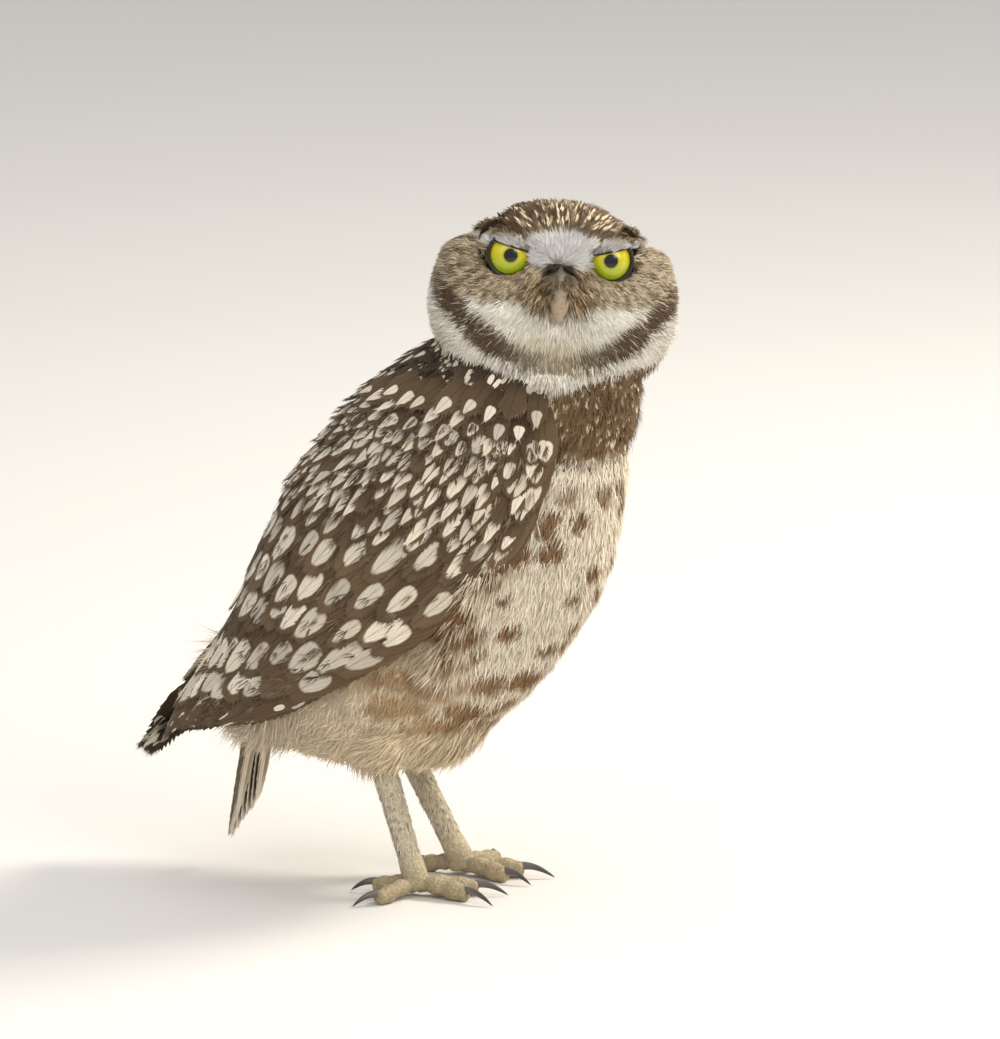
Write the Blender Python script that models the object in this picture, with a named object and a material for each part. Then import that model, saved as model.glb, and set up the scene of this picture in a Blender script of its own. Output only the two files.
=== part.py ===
"""A life-size museum model of a standing burrowing owl, head turned to its right.

The body faces +X, the bird's left is +Y and up is +Z. The model is worked out in
millimetres round a point on the floor midway between the feet, and each mesh is scaled
to metres as it is made. At the end the whole model is shifted so that the origin lies
under the middle of its box.
"""

import bisect
import math

import bmesh
import bpy
from mathutils import Matrix, Vector

MM = 0.001
GAP = 0.3
FLAT_ANGLE = 1.0
UP = Vector((0, 0, 1))
RIGHT, LEFT = -1, 1

# Torso and neck as level rings: height, middle x, half length behind, half length
# in front, half width. The first and last rings close the form.
BODY_RINGS = [
    (43.0, -16, 0, 0, 0),
    (45.5, -17, 26, 22, 18),
    (51.0, -19, 38, 33, 26),
    (60.0, -19, 48, 43, 32),
    (70.0, -15, 54, 50, 36),
    (83.0, -9, 59, 54, 38),
    (100.0, -1, 61.5, 57, 39),
    (117.0, 4, 58, 58, 39.5),
    (134.0, 9, 55, 56, 39.5),
    (150.0, 15, 50, 52, 38.5),
    (163.0, 22, 46, 49, 37),
    (176.0, 29, 43, 43, 35),
    (187.0, 33, 34, 36, 30),
    (194.0, 35, 23, 25, 20),
    (197.0, 36, 0, 0, 0),
]
BODY_SQUARENESS = 2.15
# The cut between torso and neck: a point on it, and its tilt to the front in degrees.
NECK_PLANE_POINT, NECK_PLANE_TILT = (30, 0, 171), 10.0

# The shell that the folded wings lie on: height, middle x, half length behind, half
# length in front, half width.
WING_RINGS = [
    (36.0, -68, 30, 60, 17),
    (48.0, -61, 34, 60, 25),
    (56.0, -50, 41, 60, 32),
    (68.0, -30, 53, 58, 38.5),
    (83.0, -12, 62, 58, 42.5),
    (100.0, -4, 61, 60, 44),
    (118.0, 2, 59, 60, 44.5),
    (140.0, 9, 55, 56, 43),
    (160.0, 20, 50, 50, 40),
    (180.0, 31, 46, 41, 35),
]

# Wing stations from shoulder to tip: height and ring angle of the lower edge, then of
# the upper edge. Angle 0 is the front of the ring and 180 its back.
WING_STATIONS = [
    (166, 54, 170, 146),
    (150, 48, 158, 158),
    (128, 52, 140, 163),
    (104, 70, 119, 166),
    (85, 88, 98, 168),
    (69, 98, 80, 168),
    (57, 108, 63, 165),
    (44, 138, 47, 152),
]
WING_CORE_END = 0.84
WING_CORE_EDGE = 1.7
WING_CORE_MIDDLE = 4.6
WING_GRID_ALONG, WING_GRID_ACROSS = 11, 6
WING_SIDES = {"right": (RIGHT, 0.0, 0.0), "left": (LEFT, 7.0, 5.0)}

# Tiers of wing feathers: how many, root and tip of the lowest feather, root and tip of
# the highest, as shares along and across the wing, half width, and the depth of the
# root below and height of the tip above the wing's surface.
WING_TIERS = {
    "primaries": (6, (0.52, 0.18), (1.02, 0.30), (0.62, 0.46), (1.05, 0.66), 6.4, 1.9, 0.2),
    "secondaries": (7, (0.42, 0.10), (0.87, 0.05), (0.50, 0.93), (0.99, 0.90), 8.0, 1.7, 0.9),
    "greater_coverts": (7, (0.30, 0.08), (0.58, 0.05), (0.40, 0.94), (0.74, 0.92), 8.2, 1.6, 1.5),
    "median_coverts": (6, (0.17, 0.12), (0.38, 0.10), (0.27, 0.93), (0.53, 0.93), 8.8, 1.6, 1.8),
    "lesser_coverts": (5, (0.06, 0.16), (0.22, 0.14), (0.13, 0.90), (0.34, 0.92), 9.0, 1.6, 1.9),
}
# A vane's outline: share along it, share of its half width.
VANE_OUTLINE = [(0.0, 0.6), (0.5, 1.0), (0.85, 0.82), (1.0, 0.3)]
VANE_THICKNESS, VANE_CAMBER = 0.75, 0.5

HEAD_CENTRE = (43.6, -3.0, 217.0)
HEAD_YAW, HEAD_PITCH, HEAD_ROLL = -64.0, -6.0, -4.0
# Head as level rings about the eyes' height: height, half width, front, back.
HEAD_RINGS = [
    (-50.0, 0, 0, 0),
    (-46.0, 20, 12, 15),
    (-40.0, 31.5, 19, 23),
    (-32.0, 37.8, 23.5, 28),
    (-24.0, 40.3, 24.5, 30.5),
    (-16.0, 40.8, 24.5, 32),
    (-8.0, 39.6, 23.5, 32.5),
    (0.0, 37.0, 22.0, 32),
    (6.0, 33.8, 21.0, 30),
    (11.0, 29.2, 18.5, 26.5),
    (16.0, 20.5, 13.5, 19.5),
    (19.0, 12.5, 8.5, 12),
    (20.6, 0, 0, 0),
]
HEAD_SQUARENESS = 2.35

EYE_RADIUS = 9.0
EYE_SIDE, EYE_FORWARD = 16.45, 13.4
LID_RADIUS, RIM_RADIUS, LID_RIM, LID_THICKNESS = 7.5, 7.15, 0.75, 0.8
LID_SLANT, LID_DROP = 19.0, 3.2
BROW_POINTS = [(20.6, 1.2, 0.5, 3.6), (20.4, 8.0, 6.0, 5.0), (17.0, 18.0, 9.8, 4.6), (10.0, 27.0, 10.2, 3.0)]

# Upper beak along its ridge: forward, height, half width, half depth.
BEAK_UPPER = [
    (17.0, -5.5, 0.0, 0.0),
    (19.5, -6.0, 4.6, 4.0),
    (24.0, -7.5, 4.3, 4.2),
    (27.5, -11.0, 3.5, 3.6),
    (28.8, -15.0, 2.5, 2.6),
    (28.3, -18.6, 1.4, 1.5),
    (27.0, -21.2, 0.0, 0.0),
]
BEAK_LOWER = [
    (15.0, -14.2, 0.0, 0.0),
    (17.0, -14.6, 3.3, 1.3),
    (21.5, -15.8, 2.9, 1.2),
    (24.6, -16.8, 1.8, 0.9),
    (25.7, -17.2, 0.0, 0.0),
]
NOSTRIL_PLACE, NOSTRIL_RADIUS = (26.6, 3.9, -7.6), 0.95

# Thigh and shank for each side: hip, heel and ankle, in body coordinates.
LEG_JOINTS = {
    "right": ((-6, -17, 70), (-14.5, -17, 50.5), (-0.5, -17.5, 6.5)),
    "left": ((-8, 16, 70), (-20.5, 14.5, 50.0), (1.5, 17.0, 6.5)),
}
THIGH_WIDTH, THIGH_DEPTH, THIGH_DROP = 13.5, 15.5, 4.0
# The thigh's middle as a share from hip to heel, and its taper towards the heel.
THIGH_MIDDLE, THIGH_TAPER = 0.62, 0.34
SHANK_TOP, SHANK_MIDDLE, SHANK_FOOT = 5.0, 4.2, 4.0
SHANK_CUT = 0.86

# Toes for each foot: end of the toe, tip of its claw, half thickness.
TOES = {
    "right": [
        ((-14.5, -18.5), (-22.5, -20.5), 2.9),
        ((18.5, -10.5), (29.0, -8.0), 3.1),
        ((19.0, -20.5), (30.5, -25.5), 3.2),
        ((-6.0, -36.0), (-12.5, -43.5), 2.9),
    ],
    "left": [
        ((-12.5, 18.0), (-20.5, 19.5), 2.9),
        ((20.0, 11.0), (30.5, 8.5), 3.1),
        ((22.5, 20.0), (33.5, 22.5), 3.2),
        ((7.0, 35.5), (3.0, 44.5), 2.9),
    ],
}
TOE_NAMES = ["hind", "inner", "middle", "outer"]
TOE_FLAT = 0.55
CLAW_RISE, CLAW_THICKNESS, CLAW_CLEARANCE, CLAW_SUNK = 3.4, 1.55, 0.45, 2.2

# Tail: middle of its root and of its tip, and its twelve feathers.
TAIL_ROOT, TAIL_TIP = (-59.5, 0.0, 86.0), (-72.3, 0.0, 14.5)
TAIL_PAIRS, TAIL_FEATHER_HALF_WIDTH = 6, 4.6
TAIL_FAN, TAIL_TIP_STEP, TAIL_LAYER, TAIL_SPREAD = -0.5, 2.2, 0.8, 0.9
# The tail's inner root: share along the tail, half width, half depth.
TAIL_CORE = [(0.0, 10.0, 4.6), (0.1, 12.6, 5.4), (0.3, 13.6, 5.4), (0.48, 13.0, 5.0), (0.56, 11.0, 3.4)]

BROWN, BUFF, WHITE = (0.20, 0.125, 0.07), (0.72, 0.58, 0.40), (0.83, 0.78, 0.70)
FINISHES = {
    "plumage_brown": (BROWN, 0.85),
    "plumage_pale": (BUFF, 0.85),
    "plumage_head": (WHITE, 0.85),
    "eye_yellow": ((0.80, 0.72, 0.02), 0.12),
    "beak_horn": ((0.42, 0.36, 0.26), 0.45),
    "claw_dark": ((0.035, 0.03, 0.03), 0.4),
    "toe_skin": ((0.40, 0.34, 0.19), 0.75),
}


def finish(name):
    """The material of this name, made on first use."""
    found = bpy.data.materials.get(name)
    if found:
        return found
    colour, roughness = FINISHES[name]
    made = bpy.data.materials.new(name)
    made.use_nodes = True
    shader = made.node_tree.nodes["Principled BSDF"]
    shader.inputs["Base Color"].default_value = (*colour, 1)
    shader.inputs["Roughness"].default_value = roughness
    return made


def clear_scene():
    """Removes the objects of the startup scene."""
    for obj in list(bpy.data.objects):
        bpy.data.objects.remove(obj)


def smooth_table(table, key):
    """The row at key, from a smooth curve through the table's rows, sorted by first value."""
    keys = [row[0] for row in table]
    key = min(max(key, keys[0]), keys[-1])
    i = min(max(bisect.bisect_right(keys, key) - 1, 0), len(keys) - 2)
    before, after = max(i - 1, 0), min(i + 2, len(keys) - 1)
    span = keys[i + 1] - keys[i]
    share = (key - keys[i]) / span
    blends = (
        2 * share**3 - 3 * share**2 + 1,
        share**3 - 2 * share**2 + share,
        -2 * share**3 + 3 * share**2,
        share**3 - share**2,
    )
    row = []
    for column in range(1, len(table[0])):
        low, high = table[i][column], table[i + 1][column]
        slope_in = (high - table[before][column]) / (keys[i + 1] - keys[before]) * span
        slope_out = (table[after][column] - low) / (keys[after] - keys[i]) * span
        row.append(blends[0] * low + blends[1] * slope_in + blends[2] * high + blends[3] * slope_out)
    return row


def ring_point(table, height, angle, squareness):
    """The point of a level ring at this height and angle, on a rounded form.

    Half sizes are blended as squares, so that the closing rings are round.
    """
    squared = [(h, middle, back**2, front**2, width**2) for h, middle, back, front, width in table]
    middle, back, front, width = smooth_table(squared, height)
    back, front, width = (math.sqrt(max(size, 0)) for size in (back, front, width))
    across, along = math.sin(angle), math.cos(angle)
    power = 2 / squareness
    length = front if along > 0 else back
    return Vector((
        middle + length * math.copysign(abs(along) ** power, along),
        width * math.copysign(abs(across) ** power, across),
        height,
    ))


def mesh_object(name, bm, material, smooth_angle=60):
    """A shaded object from a bmesh in millimetres, which it frees."""
    bmesh.ops.recalc_face_normals(bm, faces=bm.faces)
    bmesh.ops.scale(bm, vec=(MM, MM, MM), verts=bm.verts)
    mesh = bpy.data.meshes.new(name)
    bm.to_mesh(mesh)
    bm.free()
    mesh.materials.append(finish(material))
    mesh.shade_smooth()
    mesh.set_sharp_from_angle(angle=math.radians(smooth_angle))
    obj = bpy.data.objects.new(name, mesh)
    bpy.context.scene.collection.objects.link(obj)
    return obj


def formed_sphere(around, levels, place):
    """A bmesh whose points are a sphere's, each moved to place(unit point)."""
    bm = bmesh.new()
    bmesh.ops.create_uvsphere(bm, u_segments=around, v_segments=levels, radius=1)
    for vert in bm.verts:
        vert.co = place(vert.co.copy())
    return bm


def tube_along(stations, around):
    """A closed bmesh round stations of (centre, side, up, half width, half height).

    Half sizes of 0 close the ends to a point.
    """
    bm = bmesh.new()
    rings = []
    for centre, side, up, half_width, half_height in stations:
        if half_width == 0:
            rings.append([bm.verts.new(centre)])
            continue
        turns = (2 * math.pi * k / around for k in range(around))
        rings.append([
            bm.verts.new(centre + side * (half_width * math.cos(a)) + up * (half_height * math.sin(a)))
            for a in turns
        ])
    for lower, upper in zip(rings, rings[1:]):
        for k in range(around):
            corners = [lower[k % len(lower)], lower[(k + 1) % len(lower)]]
            corners += [upper[(k + 1) % len(upper)], upper[k % len(upper)]]
            bm.faces.new(list(dict.fromkeys(corners)))
    for ring in (rings[0], rings[-1]):
        if len(ring) > 1:
            bm.faces.new(ring)
    bmesh.ops.triangulate(bm, faces=bm.faces)
    return bm


def grown(obj, gap=GAP):
    """A hidden copy of obj, larger by gap all round, for cutting its neighbour."""
    copy = obj.copy()
    copy.data = obj.data.copy()
    bm = bmesh.new()
    bm.from_mesh(copy.data)
    bm.normal_update()
    moves = [vert.normal * (gap * MM * max(vert.calc_shell_factor(), 1.0)) for vert in bm.verts]
    for vert, move in zip(bm.verts, moves):
        vert.co += move
    bm.to_mesh(copy.data)
    bm.free()
    bpy.context.scene.collection.objects.link(copy)
    return copy


def combine(obj, others, operation, solver="EXACT"):
    """Applies one Boolean of obj with others, and removes them."""
    group = bpy.data.collections.new("combine")
    bpy.context.scene.collection.children.link(group)
    for other in others:
        group.objects.link(other)
    boolean = obj.modifiers.new("combine", "BOOLEAN")
    boolean.operation = operation
    boolean.operand_type = "COLLECTION"
    boolean.collection = group
    boolean.solver = solver
    graph = bpy.context.evaluated_depsgraph_get()
    result = bpy.data.meshes.new_from_object(obj.evaluated_get(graph))
    obj.modifiers.clear()
    obj.data = result
    for other in others:
        bpy.data.objects.remove(other)
    bpy.data.collections.remove(group)
    keep_largest(obj)
    return obj


def keep_largest(obj):
    """Leaves only obj's largest closed surface, as triangles."""
    bm = bmesh.new()
    bm.from_mesh(obj.data)
    bmesh.ops.triangulate(bm, faces=bm.faces)
    groups, seen = [], set()
    for start in bm.verts:
        if start in seen:
            continue
        seen.add(start)
        group, waiting = [], [start]
        while waiting:
            vert = waiting.pop()
            group.append(vert)
            for edge in vert.link_edges:
                other = edge.other_vert(vert)
                if other not in seen:
                    seen.add(other)
                    waiting.append(other)
        groups.append(group)
    groups.sort(key=len)
    for group in groups[:-1]:
        bmesh.ops.delete(bm, geom=group, context="VERTS")
    bmesh.ops.dissolve_limit(bm, angle_limit=math.radians(FLAT_ANGLE), verts=bm.verts, edges=bm.edges)
    bmesh.ops.triangulate(bm, faces=bm.faces)
    bm.to_mesh(obj.data)
    bm.free()


def cut_by_plane(obj, point, normal):
    """Takes away what lies on the normal's side of a plane, given in millimetres."""
    bm = bmesh.new()
    bm.from_mesh(obj.data)
    cut = bmesh.ops.bisect_plane(
        bm,
        geom=[*bm.verts, *bm.edges, *bm.faces],
        plane_co=Vector(point) * MM,
        plane_no=normal,
        clear_outer=True,
    )
    edges = [piece for piece in cut["geom_cut"] if isinstance(piece, bmesh.types.BMEdge)]
    bmesh.ops.holes_fill(bm, edges=edges, sides=0)
    bmesh.ops.triangulate(bm, faces=bm.faces)
    bmesh.ops.recalc_face_normals(bm, faces=bm.faces)
    bm.to_mesh(obj.data)
    bm.free()
    return obj


def body_form(name):
    """Torso and neck as one closed form."""
    low, high = BODY_RINGS[0][0], BODY_RINGS[-1][0]

    def place(point):
        height = (low + high) / 2 + point.z * (high - low) / 2
        return ring_point(BODY_RINGS, height, math.atan2(point.y, point.x), BODY_SQUARENESS)

    return mesh_object(name, formed_sphere(26, 19, place), "plumage_pale")


def make_torso_and_neck():
    """The body cut across at the base of the neck, on a plane that drops to the front."""
    tilt = math.radians(NECK_PLANE_TILT)
    normal = Vector((math.sin(tilt), 0, math.cos(tilt)))
    point = Vector(NECK_PLANE_POINT)
    torso = cut_by_plane(body_form("torso"), point - normal * (GAP / 2), normal)
    neck = cut_by_plane(body_form("neck"), point + normal * (GAP / 2), -normal)
    return torso, neck


def head_matrix():
    """Turns and moves head coordinates (forward, left, up about the eyes) to the body's."""
    turn = Matrix.Rotation(math.radians(HEAD_YAW), 4, "Z")
    turn = turn @ Matrix.Rotation(math.radians(HEAD_PITCH), 4, "Y")
    turn = turn @ Matrix.Rotation(math.radians(HEAD_ROLL), 4, "X")
    return Matrix.Translation(HEAD_CENTRE) @ turn


def bump(distance, width):
    """A smooth bump of height 1 that fades over width."""
    return math.exp(-((distance / width) ** 2))


def head_point(point):
    """A point of the head's surface for a point of the unit sphere, in head coordinates."""
    low, high = HEAD_RINGS[0][0], HEAD_RINGS[-1][0]
    height = (low + high) / 2 + point.z * (high - low) / 2
    squared = [(h, width**2, front**2, back**2) for h, width, front, back in HEAD_RINGS]
    width, front, back = (math.sqrt(max(v, 0)) for v in smooth_table(squared, height))
    angle = math.atan2(point.y, point.x)
    across, along = math.sin(angle), math.cos(angle)
    power = 2 / HEAD_SQUARENESS
    depth = front if along > 0 else back
    place = Vector((
        depth * math.copysign(abs(along) ** power, along),
        width * math.copysign(abs(across) ** power, across),
        height,
    ))
    if along > 0:
        side = abs(place.y)
        hollow = 1.0 * bump(math.hypot(side - EYE_SIDE, height + 1), 9)
        cheek = 1.4 * bump(math.hypot(side - 17, height + 18), 11)
        bridge = 1.8 * bump(math.hypot(side, height + 6), 9)
        place.x += along * (cheek + bridge - hollow)
    return place


def lid_part(side, point, normal):
    """A cap of the shell round one eye, cut off at a plane given about the eye's centre."""
    radius = EYE_RADIUS + GAP + LID_THICKNESS
    bm = formed_sphere(18, 10, lambda place: place * radius)
    cut = bmesh.ops.bisect_plane(
        bm,
        geom=[*bm.verts, *bm.edges, *bm.faces],
        plane_co=point,
        plane_no=normal,
        clear_outer=True,
    )
    edges = [piece for piece in cut["geom_cut"] if isinstance(piece, bmesh.types.BMEdge)]
    bmesh.ops.holes_fill(bm, edges=edges, sides=0)
    bmesh.ops.translate(bm, vec=(EYE_FORWARD, EYE_SIDE * side, 0), verts=bm.verts)
    return bm


def lid_parts(side):
    """The ring of lid round one eye, and the upper lid, whose edge falls to the beak."""
    radius = EYE_RADIUS + GAP + LID_THICKNESS
    slant = math.radians(LID_SLANT) * side
    ring = lid_part(side, (math.sqrt(radius**2 - LID_RADIUS**2), 0, 0), (1, 0, 0))
    upper = lid_part(side, (0, 0, LID_DROP), (0, math.sin(slant), -math.cos(slant)))
    return [ring, upper]


def lid_rim(side):
    """The round rim of one eye's opening."""
    forward = math.sqrt((EYE_RADIUS + GAP * 2) ** 2 - RIM_RADIUS**2)
    bm = bmesh.new()
    bmesh.ops.create_circle(bm, segments=5, radius=LID_RIM)
    turn = Matrix.Translation((RIM_RADIUS, 0, 0)) @ Matrix.Rotation(math.pi / 2, 4, "X")
    bmesh.ops.transform(bm, matrix=turn, verts=bm.verts)
    bmesh.ops.spin(
        bm, geom=bm.edges[:], axis=(0, 0, 1), cent=(0, 0, 0), angle=2 * math.pi, steps=18, use_merge=True
    )
    stand = Matrix.Translation((EYE_FORWARD + forward, EYE_SIDE * side, 0))
    bmesh.ops.transform(bm, matrix=stand @ Matrix.Rotation(math.pi / 2, 4, "Y"), verts=bm.verts)
    return bm


def brow_ridge(side):
    """The ridge from the root of the beak out over one eye."""
    points = [Vector((x, y * side, z)) for x, y, z, _ in BROW_POINTS]
    stations = [(points[0] + Vector((-4, -1 * side, -2)), None, None, 0, 0)]
    for point, row in zip(points, BROW_POINTS):
        stations.append((point, Vector((0.5, 0, -0.87)), Vector((0.87, 0, 0.5)), row[3], 3.4))
    stations.append((points[-1] + Vector((-6, 5 * side, -2)), None, None, 0, 0))
    return tube_along(stations, 8)


def beak_form(rows):
    """A beak half: a tapered tube along its middle line in the head's upright plane."""
    stations = []
    for i, (forward, height, half_width, half_depth) in enumerate(rows):
        ahead, behind = rows[min(i + 1, len(rows) - 1)], rows[max(i - 1, 0)]
        along = Vector((ahead[0] - behind[0], 0, ahead[1] - behind[1])).normalized()
        up = along.cross(Vector((0, 1, 0)))
        stations.append((Vector((forward, 0, height)), Vector((0, 1, 0)), up, half_width, half_depth))
    return tube_along(stations, 12)


def in_head(bm):
    """Carries a bmesh from head coordinates to the body's."""
    bmesh.ops.transform(bm, matrix=head_matrix(), verts=bm.verts)
    return bm


def make_head(neck, torso):
    """The head with brows and lids, its eyes and both halves of the beak."""
    head = mesh_object("head", in_head(formed_sphere(32, 21, head_point)), "plumage_head")
    for piece in (neck, torso):
        combine(piece, [grown(head)], "DIFFERENCE")
    eyes, additions = [], []
    for word, side in (("right", RIGHT), ("left", LEFT)):
        eye = formed_sphere(18, 12, lambda point: point * EYE_RADIUS)
        bmesh.ops.rotate(eye, matrix=Matrix.Rotation(math.pi / 2, 3, "Y"), verts=eye.verts)
        bmesh.ops.translate(eye, vec=(EYE_FORWARD, EYE_SIDE * side, 0), verts=eye.verts)
        eyes.append(mesh_object(f"eye_{word}", in_head(eye), "eye_yellow"))
        for form in (*lid_parts(side), lid_rim(side), brow_ridge(side)):
            additions.append(mesh_object("addition", in_head(form), "plumage_head"))
    upper = mesh_object("beak_upper", in_head(beak_form(BEAK_UPPER)), "beak_horn")
    lower = mesh_object("beak_lower", in_head(beak_form(BEAK_LOWER)), "beak_horn")
    combine(head, additions, "UNION")
    combine(lower, [grown(upper)], "DIFFERENCE")
    combine(head, [grown(piece) for piece in (*eyes, upper, lower)], "DIFFERENCE")
    nostrils = []
    for side in (RIGHT, LEFT):
        forward, across, height = NOSTRIL_PLACE
        hole = formed_sphere(8, 6, lambda point: point * NOSTRIL_RADIUS)
        bmesh.ops.translate(hole, vec=(forward, across * side, height), verts=hole.verts)
        nostrils.append(mesh_object("nostril", in_head(hole), "beak_horn"))
    combine(upper, nostrils, "DIFFERENCE")


def wing_point(side, along, across, reach, lift):
    """A point of the folded wing's outer surface, from shares along and across the wing.

    Reach draws the wing out behind and lift raises it, both growing to the tip.
    """
    steps = len(WING_STATIONS) - 1
    table = [(i / steps, *row) for i, row in enumerate(WING_STATIONS)]
    inside = min(along, 1.0)
    low_z, low_angle, high_z, high_angle = smooth_table(table, inside)
    if along > 1:
        nearly = smooth_table(table, 0.98)
        beyond = (along - 1) / 0.02
        row = [now + (now - then) * beyond for now, then in zip((low_z, low_angle, high_z, high_angle), nearly)]
        low_z, low_angle, high_z, high_angle = row
    height = low_z + (high_z - low_z) * across
    angle = math.radians(low_angle + (high_angle - low_angle) * across)
    point = ring_point(WING_RINGS, height, angle, BODY_SQUARENESS)
    point.y *= side
    return point + Vector((-reach, -side * reach * 0.35, lift)) * (max(along, 0) ** 3)


def wing_normal(side, along, across, reach, lift):
    """The outward direction of the wing's surface."""
    step = 0.02
    across = min(max(across, step), 1 - step)
    ahead = wing_point(side, along + step, across, reach, lift) - wing_point(side, along - step, across, reach, lift)
    over = wing_point(side, along, across + step, reach, lift) - wing_point(side, along, across - step, reach, lift)
    normal = ahead.cross(over).normalized()
    return normal if normal.y * side > 0 else -normal


def core_depth(along, across):
    """How thick the wing's inner plate is at a place on it."""
    middle = math.sin(math.pi * min(max(across, 0), 1)) ** 0.6
    taper = min(1, (1 - along / WING_CORE_END) * 2.2 + 0.12)
    return WING_CORE_EDGE + (WING_CORE_MIDDLE - WING_CORE_EDGE) * middle * taper


def wing_core(name, side, reach, lift):
    """The wing's plain inner plate, thick in the middle and thin at its edges."""
    bm = bmesh.new()
    bmesh.ops.create_grid(bm, x_segments=WING_GRID_ALONG, y_segments=WING_GRID_ACROSS, size=1)
    bmesh.ops.triangulate(bm, faces=bm.faces)
    shares = {vert: ((vert.co.x + 1) / 2 * WING_CORE_END, (vert.co.y + 1) / 2) for vert in bm.verts}
    grid = list(bm.verts)
    made = bmesh.ops.extrude_face_region(bm, geom=bm.faces[:])
    lifted = [piece for piece in made["geom"] if isinstance(piece, bmesh.types.BMVert)]
    nearest = {(round(vert.co.x, 4), round(vert.co.y, 4)): share for vert, share in shares.items()}
    inner = {vert: nearest[round(vert.co.x, 4), round(vert.co.y, 4)] for vert in lifted}
    for vert in grid:
        along, across = shares[vert]
        vert.co = wing_point(side, along, across, reach, lift)
    for vert, (along, across) in inner.items():
        outer = wing_point(side, along, across, reach, lift)
        vert.co = outer - wing_normal(side, along, across, reach, lift) * core_depth(along, across)
    return mesh_object(name, bm, "plumage_brown")


def vane(path, half_width, thickness=VANE_THICKNESS, camber=VANE_CAMBER):
    """A closed feather vane along a path of (centre, outward normal), one for each outline row."""
    bm = bmesh.new()
    rows = []
    last = len(path) - 1
    for i, ((centre, normal), (_, width)) in enumerate(zip(path, VANE_OUTLINE)):
        along = path[min(i + 1, last)][0] - path[max(i - 1, 0)][0]
        side = normal.cross(along).normalized() * (half_width * width)
        rows.append([
            [bm.verts.new(centre + side * k - normal * (camber * abs(k) + depth)) for k in (-1, 0, 1)]
            for depth in (0, thickness)
        ])
    for low, high in zip(rows, rows[1:]):
        for (a, b, c), (d, e, f) in zip(low, high):
            for corners in ((a, b, d), (b, e, d), (b, c, f), (b, f, e)):
                bm.faces.new(corners)
        for k in (0, 2):
            bm.faces.new((low[0][k], high[0][k], high[1][k], low[1][k]))
    for top, under in (rows[0], rows[-1]):
        for k in (0, 1):
            bm.faces.new((top[k], top[k + 1], under[k + 1], under[k]))
    bmesh.ops.triangulate(bm, faces=bm.faces)
    return bm


def wing_feather(side, root, tip, half_width, sink, rise, reach, lift):
    """One wing feather that leaves the wing's surface from a sunk root."""
    path = []
    sink = min(sink, core_depth(*root) - VANE_THICKNESS - VANE_CAMBER - 0.1)
    for share, _ in VANE_OUTLINE:
        along = root[0] + (tip[0] - root[0]) * share
        across = root[1] + (tip[1] - root[1]) * share
        point = wing_point(side, along, across, reach, lift)
        normal = wing_normal(side, along, across, reach, lift)
        path.append((point + normal * (-sink + (sink + rise) * share**0.8), normal))
    return vane(path, half_width)


def make_wing(word, torso):
    """One folded wing: its core and the tiers of coverts and flight feathers."""
    side, reach, lift = WING_SIDES[word]
    name = f"wing_{word}"
    wing = wing_core(name, side, reach, lift)
    cutter = grown(wing)
    feathers = []
    for count, low_root, low_tip, high_root, high_tip, half_width, sink, rise in WING_TIERS.values():
        for i in range(count):
            share = i / (count - 1)
            root = tuple(a + (b - a) * share for a, b in zip(low_root, high_root))
            tip = tuple(a + (b - a) * share for a, b in zip(low_tip, high_tip))
            layer = 0.35 * (i % 2)
            form = wing_feather(side, root, tip, half_width, sink, rise + layer, reach, lift)
            feathers.append(mesh_object("feather", form, "plumage_brown"))
    combine(wing, feathers, "UNION", "MANIFOLD")
    combine(torso, [cutter], "DIFFERENCE")
    return wing


def make_tail(torso):
    """The closed tail: a root in the rump and six pairs of feathers stacked under it."""
    root, tip = Vector(TAIL_ROOT), Vector(TAIL_TIP)
    along = (tip - root).normalized()
    side = Vector((0, 1, 0))
    back = along.cross(side)
    if back.x > 0:
        back = -back
    length = (tip - root).length
    core_stations = [(root - along * 3, side, back, 0, 0)]
    for share, half_width, half_depth in TAIL_CORE:
        core_stations.append((root + along * (length * share), side, back, half_width, half_depth))
    core_stations.append((root + along * (length * 0.6), side, back, 0, 0))
    tail = mesh_object("tail", tube_along(core_stations, 12), "plumage_brown")
    feathers = []
    for pair in range(TAIL_PAIRS):
        for hand in (RIGHT, LEFT):
            turn = Matrix.Rotation(math.radians(TAIL_FAN * (pair + 0.5)) * hand, 3, back)
            lie = turn @ along
            depth = TAIL_LAYER * (pair - 2.2 + 0.25 * hand)
            start = root + side * (hand * TAIL_SPREAD * (pair + 0.5)) + along * 5 - back * depth
            reach = length - TAIL_TIP_STEP * pair - 5
            path = [(start + lie * (reach * share), back) for share, _ in VANE_OUTLINE]
            form = vane(path, TAIL_FEATHER_HALF_WIDTH, 0.6, 0.25)
            feathers.append(mesh_object("feather", form, "plumage_brown"))
    cutter = grown(tail)
    combine(tail, feathers, "UNION", "MANIFOLD")
    combine(torso, [cutter], "DIFFERENCE")
    return tail


def lerp_path(points, sizes, around, sideways=None):
    """A tube through points with these (half width, half height) sizes."""
    stations = []
    last = len(points) - 1
    for i, (point, size) in enumerate(zip(points, sizes)):
        along = (points[min(i + 1, last)] - points[max(i - 1, 0)]).normalized()
        side = (sideways or UP.cross(along)).normalized()
        up = along.cross(side)
        stations.append((point, side, up, size[0], size[1]))
    return tube_along(stations, around)


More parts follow.
